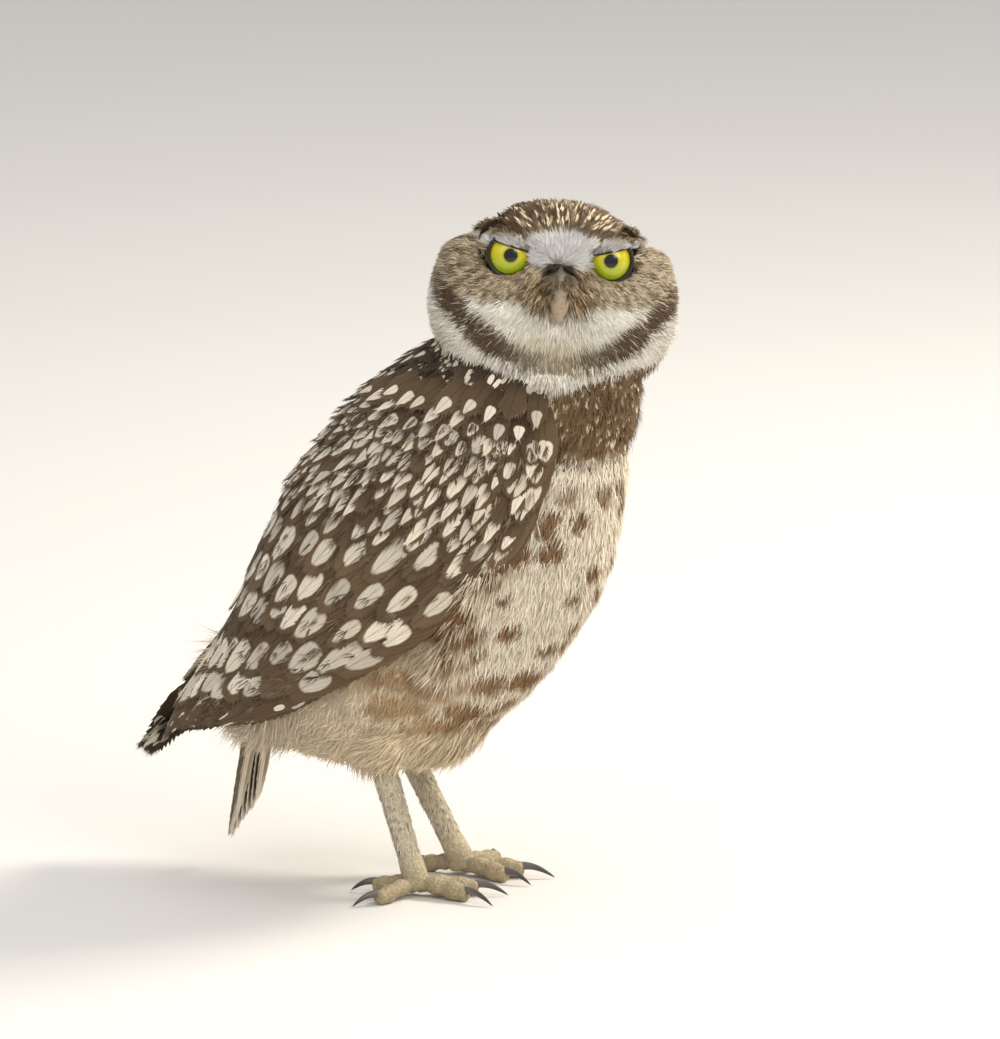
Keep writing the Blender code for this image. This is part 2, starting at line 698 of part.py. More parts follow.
def make_leg(word, torso):
    """One leg: the feathered thigh, and the shank down to the ankle."""
    hip, heel, ankle = (Vector(point) for point in LEG_JOINTS[word])
    down = (ankle - heel).normalized()
    centre = hip.lerp(heel, THIGH_MIDDLE)
    lie = (heel - hip).normalized()
    frame = lie.to_track_quat("Z", "Y").to_matrix()
    half = (heel - hip).length * THIGH_MIDDLE + THIGH_DROP

    def place(point):
        waist = 1 - THIGH_TAPER * max(point.z, 0)
        size = Vector((THIGH_WIDTH * waist, THIGH_DEPTH * waist, half))
        return centre + frame @ Vector(a * b for a, b in zip(point, size))

    thigh = mesh_object(f"thigh_{word}", formed_sphere(12, 8, place), "plumage_pale")
    start = heel - down * 3
    shares = (0, 0.1, 0.3, 0.55, 0.8, 1.0)
    widths = (SHANK_TOP, SHANK_TOP, SHANK_MIDDLE + 0.4, SHANK_MIDDLE, SHANK_FOOT, SHANK_FOOT)
    points = [start.lerp(ankle, share * SHANK_CUT) for share in shares]
    shank = mesh_object(
        f"shank_{word}",
        lerp_path(points, [(w, w * 0.95) for w in widths], 12, Vector((0, 1, 0))),
        "plumage_pale",
    )
    combine(thigh, [grown(shank)], "DIFFERENCE")
    combine(torso, [grown(thigh), grown(shank)], "DIFFERENCE")
    return start.lerp(ankle, SHANK_CUT), down


def make_foot(word, shank_end, down):
    """One foot with four toes flattened underneath, and a hooked claw on each toe."""
    ankle = Vector(LEG_JOINTS[word][2])
    top = shank_end + down * GAP
    heel_pad = Vector((ankle.x + 1.0, ankle.y, 0))
    foot = mesh_object(
        f"foot_{word}",
        lerp_path(
            [top, top.lerp(ankle, 0.6), ankle.lerp(heel_pad, 0.15), Vector((heel_pad.x, heel_pad.y, 0.8))],
            [(SHANK_FOOT, SHANK_FOOT * 0.95), (4.1, 4.0), (4.6, 4.8), (3.4, 3.4)],
            12,
            Vector((0, 1, 0)),
        ),
        "toe_skin",
    )
    toes, claws = [], []
    for name, (end, claw_tip, half) in zip(TOE_NAMES, TOES[word]):
        base = Vector((ankle.x, ankle.y, half + 1.0))
        tip = Vector((*end, half))
        out = (tip - base).normalized()
        start = base + out * 1.0
        knuckles = (0.0, 0.24, 0.4, 0.6, 0.76, 0.92)
        swell = (0.85, 1.0, 0.86, 1.06, 0.88, 1.0)
        points = [start.lerp(tip, share) + UP * (1.6 * math.sin(math.pi * share) * (1 - share)) for share in knuckles]
        sizes = [(half * s, half * s) for s in swell]
        rounded = lerp_path([*points, tip + out * 0.8], [*sizes, (0, 0)], 8)
        toes.append(mesh_object("toe", rounded, "toe_skin"))
        claws.append(make_claw(f"claw_{word}_{name}", tip, out, claw_tip, half))
    floor = bmesh.new()
    bmesh.ops.create_cube(floor, size=1)
    bmesh.ops.scale(floor, vec=(200, 200, 20), verts=floor.verts)
    bmesh.ops.translate(floor, vec=(0, 0, -10 + TOE_FLAT), verts=floor.verts)
    combine(foot, toes, "UNION")
    combine(foot, [grown(claw) for claw in claws], "DIFFERENCE")
    combine(foot, [mesh_object("floor", floor, "toe_skin")], "DIFFERENCE")


def make_claw(name, toe_end, out, claw_tip, half):
    """A claw that rises out of its toe's end and hooks down to just above the floor."""
    start = toe_end - out * CLAW_SUNK + UP * (half * 0.28)
    tip = Vector((*claw_tip, TOE_FLAT + CLAW_CLEARANCE))
    crown = start.lerp(tip, 0.45) + UP * CLAW_RISE
    points, sizes = [], []
    steps = 6
    for i in range(steps + 1):
        share = i / steps
        point = start * (1 - share) ** 2 + crown * (2 * share * (1 - share)) + tip * share**2
        thick = CLAW_THICKNESS * (1 - share) ** 0.6
        points.append(point)
        sizes.append((0, 0) if i == steps else (thick * 0.82, thick))
    return mesh_object(name, lerp_path(points, sizes, 7), "claw_dark")


def centre_on_floor():
    """Shifts every object so that the origin is under the middle of the whole box."""
    objects = [obj for obj in bpy.data.objects if obj.type == "MESH"]
    corners = [vert.co for obj in objects for vert in obj.data.vertices]
    low = [min(co[k] for co in corners) for k in range(3)]
    high = [max(co[k] for co in corners) for k in range(3)]
    shift = Vector((-(low[0] + high[0]) / 2, -(low[1] + high[1]) / 2, -low[2]))
    for obj in objects:
        obj.data.transform(Matrix.Translation(shift))


def main():
    """Builds the owl, part by part."""
    clear_scene()
    torso, neck = make_torso_and_neck()
    make_head(neck, torso)
    for word in WING_SIDES:
        make_wing(word, torso)
    make_tail(torso)
    for word in LEG_JOINTS:
        shank_end, down = make_leg(word, torso)
        make_foot(word, shank_end, down)
    centre_on_floor()


main()
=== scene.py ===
"""Dresses the burrowing owl: skin, feathers, eyes, beak, feet and claws, in a pale studio.

Shapes are worked out in millimetres in the body's own frame: the bird faces +X, its left
is +Y, up is +Z, and the origin lies on the floor between the feet. Each finished mesh is
then moved and scaled to the frame's metres.
"""

import logging
import math
from dataclasses import dataclass, field
from enum import Enum
from typing import Callable

import bmesh
import bpy
import numpy as np
from mathutils import Matrix, Vector
from mathutils.bvhtree import BVHTree
from mathutils.kdtree import KDTree


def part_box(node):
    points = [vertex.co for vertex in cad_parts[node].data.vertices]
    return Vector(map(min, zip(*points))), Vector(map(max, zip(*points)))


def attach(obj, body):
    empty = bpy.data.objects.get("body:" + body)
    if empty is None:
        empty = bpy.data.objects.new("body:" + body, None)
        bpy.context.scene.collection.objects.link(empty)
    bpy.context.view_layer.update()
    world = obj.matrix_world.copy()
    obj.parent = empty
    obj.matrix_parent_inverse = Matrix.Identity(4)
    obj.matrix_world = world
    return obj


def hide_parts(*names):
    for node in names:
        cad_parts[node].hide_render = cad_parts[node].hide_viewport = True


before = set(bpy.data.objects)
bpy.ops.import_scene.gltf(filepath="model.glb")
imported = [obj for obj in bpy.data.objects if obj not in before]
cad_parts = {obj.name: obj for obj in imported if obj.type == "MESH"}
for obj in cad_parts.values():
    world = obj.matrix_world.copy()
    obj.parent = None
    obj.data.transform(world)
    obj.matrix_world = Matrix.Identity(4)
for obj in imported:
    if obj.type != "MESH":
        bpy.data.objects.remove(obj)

LOG = logging.getLogger("owl")
MM = 0.001
SEED = 20
Array = np.ndarray
Colour = tuple[float, float, float]
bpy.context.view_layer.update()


class Slot(Enum):
    """The record's material slots."""

    BROWN = "plumage_brown"
    PALE = "plumage_pale"
    HEAD = "plumage_head"
    EYE = "eye_yellow"
    HORN = "beak_horn"
    CLAW = "claw_dark"
    TOE = "toe_skin"


class Side(Enum):
    """The bird's two sides, as the sign of y."""

    RIGHT = -1
    LEFT = 1

    @property
    def word(self) -> str:
        """The side's name in node names."""
        return self.name.lower()


def smooth_rows(table: Array, keys: Array) -> Array:
    """Reads a smooth curve through a table's rows.

    Args:
        table: Rows sorted by their first value.
        keys: Places along the first value, of any number.

    Returns:
        One row for each key, without the first value.
    """
    knots = table[:, 0]
    keys = np.clip(keys, knots[0], knots[-1])
    i = np.clip(np.searchsorted(knots, keys, side="right") - 1, 0, len(knots) - 2)
    before, after = np.maximum(i - 1, 0), np.minimum(i + 2, len(knots) - 1)
    span = knots[i + 1] - knots[i]
    share = ((keys - knots[i]) / span)[:, None]
    low, high = table[i, 1:], table[i + 1, 1:]
    slope_in = (high - table[before, 1:]) * (span / (knots[i + 1] - knots[before]))[:, None]
    slope_out = (table[after, 1:] - low) * (span / (knots[after] - knots[i]))[:, None]
    return (
        (2 * share**3 - 3 * share**2 + 1) * low
        + (share**3 - 2 * share**2 + share) * slope_in
        + (3 * share**2 - 2 * share**3) * high
        + (share**3 - share**2) * slope_out
    )


def signed_power(value: Array, power: float) -> Array:
    """A value raised to a power with its sign kept."""
    return np.sign(value) * np.abs(value) ** power


def unit(vectors: Array) -> Array:
    """The vectors at length one."""
    return vectors / np.maximum(np.linalg.norm(vectors, axis=-1, keepdims=True), 1e-9)


def across_plane(vectors: Array, normals: Array) -> Array:
    """The vectors with their part along the normals taken out, at length one."""
    return unit(vectors - normals * np.sum(vectors * normals, axis=-1, keepdims=True))


def fade(value: Array, start: float, end: float) -> Array:
    """A smooth step from 0 at start to 1 at end."""
    share = np.clip((value - start) / (end - start), 0, 1)
    return share * share * (3 - 2 * share)


def bell(value: Array, width: float) -> Array:
    """A smooth bump of height 1 that fades over width."""
    return np.exp(-((value / width) ** 2))


def ripple(value: Array, phase: float = 0.0) -> Array:
    """An uneven wave of height about 1, for ragged borders."""
    slow, quick = np.sin(value * 0.55 + phase), np.sin(value * 1.27 + 2 * phase)
    return 0.5 * slow + 0.35 * quick + 0.3 * np.sin(value * 2.9 + phase)


def mix(low: Array | Colour, high: Array | Colour, share: Array) -> Array:
    """Colours blended row by row."""
    share = np.asarray(share)[:, None]
    return np.asarray(low) * (1 - share) + np.asarray(high) * share


def trunk_middle(height: Array) -> Array:
    """How far forward the middle of the leaning trunk lies at a height."""
    return np.interp(height, [40, 60, 83, 117, 150, 176, 200], [-16, -19, -9, 4, 15, 29, 36])


@dataclass(frozen=True)
class HeadForm:
    """Where the head stands, and the forms on it in head coordinates (forward, left, up)."""

    centre: tuple[float, float, float] = (43.6, -3.0, 217.0)
    yaw: float = -64.0
    pitch: float = -6.0
    roll: float = -4.0
    eye_radius: float = 9.0
    eye_side: float = 16.45
    eye_forward: float = 13.4
    rim_radius: float = 7.15
    lid_radius: float = 10.1
    lid_slant: float = 15.0
    lid_drop: float = 2.8

    def matrix(self) -> Matrix:
        """Carries head coordinates to the body's.

        Returns:
            The turn and move in millimetres.
        """
        turn = Matrix.Rotation(math.radians(self.yaw), 4, "Z")
        turn = turn @ Matrix.Rotation(math.radians(self.pitch), 4, "Y")
        turn = turn @ Matrix.Rotation(math.radians(self.roll), 4, "X")
        return Matrix.Translation(self.centre) @ turn

    def turn(self) -> Array:
        """The head's turn as a 3 by 3 array."""
        return np.array(self.matrix().to_3x3())

    def local(self, points: Array) -> Array:
        """Body points in head coordinates."""
        return (points - np.array(self.centre)) @ self.turn()

    def to_body(self, points: Array) -> Array:
        """Head points in body coordinates."""
        return points @ self.turn().T + np.array(self.centre)


HEAD = HeadForm()


def frame_shift() -> Vector:
    """Finds the body's origin in the frame from the right eye's place.

    Returns:
        The move in metres.
    """
    low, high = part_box("eye_right")
    eye = HEAD.matrix() @ Vector((HEAD.eye_forward, -HEAD.eye_side, 0))
    return (low + high) / 2 - eye * MM


SHIFT = frame_shift()


@dataclass(frozen=True)
class WingForm:
    """The shell that one folded wing lies on."""

    side: Side
    reach: float
    lift: float
    squareness: float = 2.15
    # Level rings: height, middle x, half length behind, half length in front, half width.
    rings: tuple[tuple[float, ...], ...] = (
        (36.0, -68, 30, 60, 17),
        (48.0, -61, 34, 60, 25),
        (56.0, -50, 41, 60, 32),
        (68.0, -30, 53, 58, 38.5),
        (83.0, -12, 62, 58, 42.5),
        (100.0, -4, 61, 60, 44),
        (118.0, 2, 59, 60, 44.5),
        (140.0, 9, 55, 56, 43),
        (160.0, 20, 50, 50, 40),
        (180.0, 31, 46, 41, 35),
    )
    # From shoulder to tip: height and ring angle of the lower edge, then of the upper one.
    stations: tuple[tuple[float, ...], ...] = (
        (166, 54, 170, 146),
        (150, 48, 158, 158),
        (128, 52, 140, 163),
        (104, 70, 119, 166),
        (85, 88, 98, 168),
        (69, 98, 80, 168),
        (57, 108, 63, 165),
        (44, 138, 47, 152),
    )

    def points(self, along: Array, across: Array) -> Array:
        """Points of the wing's surface, from shares along and across it.

        Args:
            along: Shares from shoulder (0) to tip (1), a little past 1 where wanted.
            across: Shares from the lower edge (0) to the upper edge (1).

        Returns:
            One body point for each pair of shares.
        """
        stations = np.array(self.stations, float)
        table = np.column_stack([np.linspace(0, 1, len(stations)), stations])
        row = smooth_rows(table, np.clip(along, 0.0, 1.0))
        for end, inside in ((1.0, 0.98), (0.0, 0.02)):
            slope = (row - smooth_rows(table, np.full(len(along), inside))) / (end - inside)
            past = along > 1 if end else along < 0
            row += slope * ((along - end) * past)[:, None]
        height = row[:, 0] + (row[:, 2] - row[:, 0]) * across
        angle = np.radians(row[:, 1] + (row[:, 3] - row[:, 1]) * across)
        rings = np.array(self.rings, float)
        rings[:, 2:] **= 2
        ring = smooth_rows(rings, height)
        back, front, width = np.sqrt(np.maximum(ring[:, 1:], 0)).T
        power = 2 / self.squareness
        length = np.where(np.cos(angle) > 0, front, back)
        x = ring[:, 0] + length * signed_power(np.cos(angle), power)
        y = width * signed_power(np.sin(angle), power) * self.side.value
        pull = np.maximum(along, 0) ** 3
        return np.column_stack([
            x - self.reach * pull,
            y - self.side.value * self.reach * 0.35 * pull,
            height + self.lift * pull,
        ])

    def normals(self, along: Array, across: Array) -> Array:
        """The surface's outward directions.

        Args:
            along: Shares from shoulder to tip.
            across: Shares from the lower edge to the upper one.

        Returns:
            One direction for each pair of shares.
        """
        step = 0.02
        across = np.clip(across, step, 1 - step)
        ahead = self.points(along + step, across) - self.points(along - step, across)
        over = self.points(along, across + step) - self.points(along, across - step)
        normal = unit(np.cross(ahead, over))
        return normal * np.where(normal[:, 1] * self.side.value > 0, 1, -1)[:, None]


WINGS = {Side.RIGHT: WingForm(Side.RIGHT, 0.0, 0.0), Side.LEFT: WingForm(Side.LEFT, 7.0, 5.0)}


Socket = bpy.types.NodeSocket


class Graph:
    """A node tree under construction."""

    def __init__(self, name: str) -> None:
        """Starts a material with its shader and output.

        Args:
            name: The material's name.
        """
        self.material = bpy.data.materials.new(name)
        self.material.use_nodes = True
        self.tree = self.material.node_tree
        self.shader = self.tree.nodes["Principled BSDF"]

    def feed(self, socket: Socket, value: object) -> None:
        """Links a socket into another one, or sets its constant.

        Args:
            socket: The input.
            value: An output, or the constant.
        """
        if isinstance(value, Socket):
            self.tree.links.new(value, socket)
        else:
            socket.default_value = value

    def attribute(self, name: str, output: str = "Color") -> Socket:
        """A mesh attribute's value.

        Args:
            name: The attribute's name.
            output: The output wanted.

        Returns:
            Its socket.
        """
        node = self.tree.nodes.new("ShaderNodeAttribute")
        node.attribute_name = name
        return node.outputs[output]

    def parts(self, vector: Socket) -> list[Socket]:
        """A vector's three numbers.

        Args:
            vector: The vector's socket.

        Returns:
            Three sockets.
        """
        node = self.tree.nodes.new("ShaderNodeSeparateXYZ")
        self.feed(node.inputs[0], vector)
        return list(node.outputs)

    def uv(self, name: str) -> Socket:
        """A UV map's coordinates.

        Args:
            name: The map's name.

        Returns:
            Their socket.
        """
        node = self.tree.nodes.new("ShaderNodeUVMap")
        node.uv_map = name
        return node.outputs[0]

    def place(self) -> Socket:
        """Object coordinates."""
        return self.tree.nodes.new("ShaderNodeTexCoord").outputs["Object"]

    def maths(self, operation: str, *values: object) -> Socket:
        """A Math node's result.

        Args:
            operation: The node's operation.
            values: Sockets or constants for its inputs.

        Returns:
            The result's socket.
        """
        node = self.tree.nodes.new("ShaderNodeMath")
        node.operation = operation
        for socket, value in zip(node.inputs, values):
            self.feed(socket, value)
        return node.outputs[0]

    def ease(self, value: object, start: float, end: float, low: float = 0.0, high: float = 1.0) -> Socket:
        """A smooth step of a value.

        Args:
            value: What is read.
            start: Where the step starts.
            end: Where it ends.
            low: The result at its start.
            high: The result at its end.

        Returns:
            The result's socket.
        """
        node = self.tree.nodes.new("ShaderNodeMapRange")
        node.interpolation_type = "SMOOTHSTEP"
        for socket, given in zip(node.inputs, (value, start, end, low, high)):
            self.feed(socket, given)
        return node.outputs[0]

    def noise(self, place: object, scale: float, detail: float = 3.0) -> Socket:
        """A noise value about 0.5.

        Args:
            place: Coordinates.
            scale: How fine the noise is.
            detail: How many finer layers it has.

        Returns:
            The value's socket.
        """
        node = self.tree.nodes.new("ShaderNodeTexNoise")
        self.feed(node.inputs["Vector"], place)
        node.inputs["Scale"].default_value = scale
        node.inputs["Detail"].default_value = detail
        return node.outputs["Fac"]

    def blend(self, share: object, low: object, high: object, how: str = "MIX") -> Socket:
        """Two colours mixed.

        Args:
            share: Share of the second colour.
            low: The first colour.
            high: The second colour.
            how: The way that they mix.

        Returns:
            The mixed colour's socket.
        """
        node = self.tree.nodes.new("ShaderNodeMix")
        node.data_type = "RGBA"
        node.blend_type = how
        for key, value in ((0, share), (6, low), (7, high)):
            self.feed(node.inputs[key], value)
        return node.outputs[2]

    def bump(self, height: object, strength: float, distance: float) -> Socket:
        """A bump normal from a height.

        Args:
            height: The height's socket.
            strength: Share of the effect.
            distance: Depth in metres.

        Returns:
            The normal's socket.
        """
        node = self.tree.nodes.new("ShaderNodeBump")
        node.inputs["Strength"].default_value = strength
        node.inputs["Distance"].default_value = distance
        self.feed(node.inputs["Height"], height)
        return node.outputs[0]

    def finish(self, **sockets: object) -> bpy.types.Material:
        """Feeds the shader's sockets.

        Args:
            sockets: Sockets or constants, by input names with _ for spaces.

        Returns:
            The finished material.
        """
        for name, value in sockets.items():
            self.feed(self.shader.inputs[name.replace("_", " ")], value)
        return self.material


@dataclass(frozen=True)
class PlumageFinish:
    """Feathers coloured by their own attributes, with spots, shaft, barbs and painted root shade on each
    vane.
    """

    name: str
    roughness: float = 0.72
    barb_contrast: float = 0.13
    barb_count: float = 190.0
    mottle: float = 0.22

    def make(self) -> bpy.types.Material:
        """Builds the material.

        Returns:
            The finished material.
        """
        graph = Graph(self.name)
        maths = graph.maths
        across, along, _ = graph.parts(graph.uv("vane"))
        half = maths("MULTIPLY", maths("ABSOLUTE", maths("SUBTRACT", across, 0.5)), 2.0)
        reach = self.mark_reach(graph, half, along)
        slant = maths("MULTIPLY_ADD", half, 0.42, along)
        barb = maths("SINE", maths("MULTIPLY", slant, self.barb_count))
        split = maths("SINE", maths("MULTIPLY", slant, self.barb_count * 0.31))
        split = maths("MULTIPLY", split, self.barb_contrast * 0.6)
        lines = maths("MULTIPLY_ADD", barb, self.barb_contrast, split)
        mottle = maths("MULTIPLY_ADD", graph.noise(graph.place(), 260.0), self.mottle, 1 - self.mottle / 2)
        # Painted shade: each vane darkens towards its root, where the feathers above overlap it.
        root = graph.ease(along, 0.0, 0.45, 0.72, 1.0)
        shaft = graph.ease(half, 0.02, 0.10, 0.72, 1.0)
        # The vane's brightness: barb lines, mottle, the dark shaft and the painted root shade.
        shade = maths("MULTIPLY", maths("MULTIPLY", maths("ADD", lines, mottle), root), shaft)
        _, _, fringe = graph.parts(graph.attribute("mark_size", "Vector"))
        edge = maths("MAXIMUM", graph.ease(along, 0.86, 1.0), graph.ease(half, 0.82, 1.0))
        mark = graph.attribute("mark")
        colour = graph.blend(maths("MULTIPLY", edge, fringe), graph.attribute("base"), mark)
        colour = graph.blend(graph.ease(reach, 0.72, 1.25, 1.0, 0.0), colour, mark)
        grey = graph.tree.nodes.new("ShaderNodeCombineColor")
        for socket in grey.inputs:
            graph.feed(socket, shade)
        colour = graph.blend(1.0, colour, grey.outputs[0], "MULTIPLY")
        return graph.finish(
            Base_Color=colour,
            Roughness=self.roughness,
            Specular_IOR_Level=0.12,
            Normal=graph.bump(lines, 0.35, 0.0002),
        )

    def mark_reach(self, graph: Graph, half: Socket, along: Socket) -> Socket:
        """How far a place on the vane lies from the nearest mark's middle, 1 at the mark's border.

        Args:
            graph: The material under construction.
            half: Share off the shaft.
            along: Share from root to tip.

        Returns:
            The distance's socket.
        """
        maths = graph.maths
        offset, count, phase = graph.parts(graph.attribute("marking", "Vector"))
        wide, tall, _ = graph.parts(graph.attribute("mark_size", "Vector"))
        wobble = maths("MULTIPLY", maths("SUBTRACT", graph.noise(graph.place(), 900.0), 0.5), 0.30)
        turn = maths("FRACT", maths("MULTIPLY_ADD", along, count, phase))
        rise = maths("DIVIDE", maths("SUBTRACT", turn, 0.5), count)
        aside = maths("ABSOLUTE", maths("DIVIDE", maths("SUBTRACT", half, offset), wide))
        above = maths("ABSOLUTE", maths("DIVIDE", rise, tall))
        return maths("ADD", maths("ADD", maths("POWER", aside, 2.6), maths("POWER", above, 2.4)), wobble)


@dataclass(frozen=True)
class SkinFinish:
    """The skin under the feathers, in the coat's own colours darkened by a downy mottle of painted shade."""

    name: str = "skin_under_feathers"
    roughness: float = 0.9

    def make(self) -> bpy.types.Material:
        """Builds the material.

        Returns:
            The finished material.
        """
        graph = Graph(self.name)
        down = graph.noise(graph.place(), 700.0, 4.0)
        # Painted shade: the coat's colours darkened to between 0.42 and 0.78 under the feathers, in a downy
        # mottle.
        dark = graph.blend(graph.ease(down, 0.3, 0.7), (0.42, 0.40, 0.38, 1), (0.78, 0.76, 0.74, 1))
        colour = graph.blend(1.0, graph.attribute("base"), dark, "MULTIPLY")
        return graph.finish(
            Base_Color=colour,
            Roughness=self.roughness,
            Specular_IOR_Level=0.15,
            Normal=graph.bump(down, 0.6, 0.0006),
        )


@dataclass(frozen=True)
class EyeFinish:
    """A wet eye: pupil, yellow iris greener below, dark rim, read from the distance off its axis."""

    name: str = "eye_wet"
    pupil: float = 2.25
    iris: float = 7.0
    yellow: Colour = (0.74, 0.60, 0.010)
    green: Colour = (0.36, 0.47, 0.012)
    spoke: Colour = (0.16, 0.22, 0.004)
    inner: Colour = (0.10, 0.08, 0.003)

    def make(self) -> bpy.types.Material:
        """Builds the material.

        Returns:
            The finished material.
        """
        graph = Graph(self.name)
        off, height, _ = graph.parts(graph.attribute("gaze", "Vector"))
        spokes = graph.noise(graph.attribute("spokes", "Vector"), 9.0, 4.0)
        yellow = graph.blend(graph.ease(height, -6.0, 4.0), (*self.green, 1), (*self.yellow, 1))
        iris = graph.blend(graph.ease(spokes, 0.35, 0.7, 0.0, 0.35), yellow, (*self.spoke, 1))
        ring = graph.ease(off, self.pupil, self.pupil + 0.9, 0.45, 0.0)
        inner = graph.blend(ring, iris, (*self.inner, 1))
        rim = graph.blend(graph.ease(off, self.iris - 1.1, self.iris), inner, (0.004, 0.004, 0.004, 1))
        outside = graph.ease(off, self.pupil - 0.12, self.pupil + 0.12)
        return graph.finish(
            Base_Color=graph.blend(outside, (0.003, 0.003, 0.004, 1), rim),
            Roughness=0.22,
            Specular_IOR_Level=0.3,
            Coat_Weight=0.7,
            Coat_Roughness=0.03,
        )


@dataclass(frozen=True)
class HornFinish:
    """Horn or claw, with fine growth lines and a change of colour towards the tip."""

    name: str
    root: Colour
    tip: Colour
    roughness: float
    grain: float = 520.0

    def make(self) -> bpy.types.Material:
        """Builds the material.

        Returns:
            The finished material.
        """
        graph = Graph(self.name)
        _, along, _ = graph.parts(graph.uv("length"))
        streak = graph.noise(graph.place(), self.grain, 5.0)
        speck = graph.noise(graph.place(), self.grain * 2.7, 2.0)
        uneven = graph.maths("MULTIPLY_ADD", graph.maths("SUBTRACT", streak, 0.5), 0.35, along)
        colour = graph.blend(graph.ease(uneven, 0.1, 0.85), (*self.root, 1), (*self.tip, 1))
        dark = tuple(part * 0.35 for part in self.root) + (1,)
        colour = graph.blend(graph.ease(speck, 0.5, 0.75, 0.0, 0.45), colour, dark)
        return graph.finish(
            Base_Color=colour,
            Roughness=graph.ease(streak, 0.3, 0.7, self.roughness - 0.08, self.roughness + 0.1),
            Normal=graph.bump(streak, 0.25, 0.0003),
        )


@dataclass(frozen=True)
class ToeFinish:
    """Scaly toe skin: yellow-grey scutes with darker creases and dust."""

    name: str = "toe_scutes"

    def make(self) -> bpy.types.Material:
        """Builds the material.

        Returns:
            The finished material.
        """
        graph = Graph(self.name)
        cells = graph.tree.nodes.new("ShaderNodeTexVoronoi")
        graph.feed(cells.inputs["Vector"], graph.place())
        cells.inputs["Scale"].default_value = 950.0
        crease = graph.ease(cells.outputs["Distance"], 0.25, 0.62, 1.0, 0.0)
        dust = graph.noise(graph.place(), 220.0, 4.0)
        top = graph.attribute("base")
        colour = graph.blend(graph.ease(dust, 0.35, 0.7, 0.0, 0.45), top, (0.50, 0.42, 0.28, 1))
        depth = graph.maths("MULTIPLY", graph.maths("SUBTRACT", 1.0, crease), 0.38)
        return graph.finish(
            Base_Color=graph.blend(depth, colour, (0.17, 0.125, 0.07, 1)),
            Roughness=0.62,
            Specular_IOR_Level=0.35,
            Normal=graph.bump(crease, 0.45, 0.0003),
        )


@dataclass(frozen=True)
class LidFinish:
    """The dark bare edge round the eye."""

    name: str = "lid_edge"

    def make(self) -> bpy.types.Material:
        """Builds the material.

        Returns:
            The finished material.
        """
        graph = Graph(self.name)
        grain = graph.noise(graph.place(), 1500.0, 3.0)
        colour = graph.blend(grain, (0.003, 0.003, 0.003, 1), (0.014, 0.011, 0.010, 1))
        return graph.finish(Base_Color=colour, Roughness=0.38, Normal=graph.bump(grain, 0.3, 0.0002))


@dataclass(frozen=True)
class FloorFinish:
    """A plain pale studio floor with the faintest mottle."""

    name: str = "pale_floor"

    def make(self) -> bpy.types.Material:
        """Builds the material.

        Returns:
            The finished material.
        """
        graph = Graph(self.name)
        cloud = graph.noise(graph.place(), 3.0, 2.0)
        colour = graph.blend(cloud, (0.74, 0.72, 0.69, 1), (0.78, 0.76, 0.73, 1))
        return graph.finish(Base_Color=colour, Roughness=0.9, Specular_IOR_Level=0.1)


def dress_piece(
    obj: bpy.types.Object, material: bpy.types.Material, nodes: tuple[str, ...] = ()
) -> bpy.types.Object:
    """Gives a piece its material and body, and hides the nodes that it stands for.

    Args:
        obj: The piece, whose mesh is already in the frame.
        material: Its finish.
        nodes: CAD nodes that it replaces.

    Returns:
        The same piece.
    """
    obj.data.materials.clear()
    obj.data.materials.append(material)
    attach(obj, "root")
    if nodes:
        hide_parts(*nodes)
    LOG.info("%s: %d faces", obj.name, len(obj.data.polygons))
    return obj


def in_scene(name: str, data: bpy.types.ID) -> bpy.types.Object:
    """Puts a new object in the scene.

    Args:
        name: Its name.
        data: Its mesh, lamp or camera.

    Returns:
        The object.
    """
    obj = bpy.data.objects.new(name, data)
    bpy.context.scene.collection.objects.link(obj)
    return obj


def mesh_from_bmesh(name: str, bm: bmesh.types.BMesh) -> bpy.types.Mesh:
    """Makes a mesh from a bmesh, which it frees.

    Args:
        name: The mesh's name.
        bm: The form.

    Returns:
        The mesh.
    """
    mesh = bpy.data.meshes.new(name)
    bm.to_mesh(mesh)
    bm.free()
    return mesh


def object_from_bmesh(name: str, bm: bmesh.types.BMesh) -> bpy.types.Object:
    """Makes a smooth object in the frame from a bmesh in body millimetres.

    Args:
        name: The object's name.
        bm: The form, which is freed.

    Returns:
        The object.
    """
    bmesh.ops.recalc_face_normals(bm, faces=bm.faces)
    bmesh.ops.transform(bm, matrix=Matrix.Translation(SHIFT) @ Matrix.Scale(MM, 4), verts=bm.verts)
    mesh = mesh_from_bmesh(name, bm)
    mesh.shade_smooth()
    return in_scene(name, mesh)


def fuse(obj: bpy.types.Object, voxel: float, smoothing: int = 0) -> None:
    """Fuses an object's crossing forms into one skin.

    Args:
        obj: The object, whose mesh is replaced.
        voxel: Size of the grid in millimetres.
        smoothing: Rounds of smoothing afterwards.
    """
    remesh = obj.modifiers.new("fuse", "REMESH")
    remesh.mode = "VOXEL"
    remesh.voxel_size = voxel * MM
    if smoothing:
        smooth = obj.modifiers.new("soften", "SMOOTH")
        smooth.iterations = smoothing
        smooth.factor = 0.6
    graph = bpy.context.evaluated_depsgraph_get()
    obj.data = bpy.data.meshes.new_from_object(obj.evaluated_get(graph))
    obj.modifiers.clear()


def body_points(mesh: bpy.types.Mesh) -> Array:
    """Reads a mesh's points in body millimetres.

    Args:
        mesh: The mesh.

    Returns:
        One row for each point.
    """
    flat = np.empty(len(mesh.vertices) * 3)
    mesh.vertices.foreach_get("co", flat)
    return (flat.reshape(-1, 3) - np.array(SHIFT)) / MM


def set_points(mesh: bpy.types.Mesh, points: Array) -> None:
    """Moves a mesh's points to places in body millimetres."""
    mesh.vertices.foreach_set("co", (points * MM + np.array(SHIFT)).astype(np.float32).ravel())


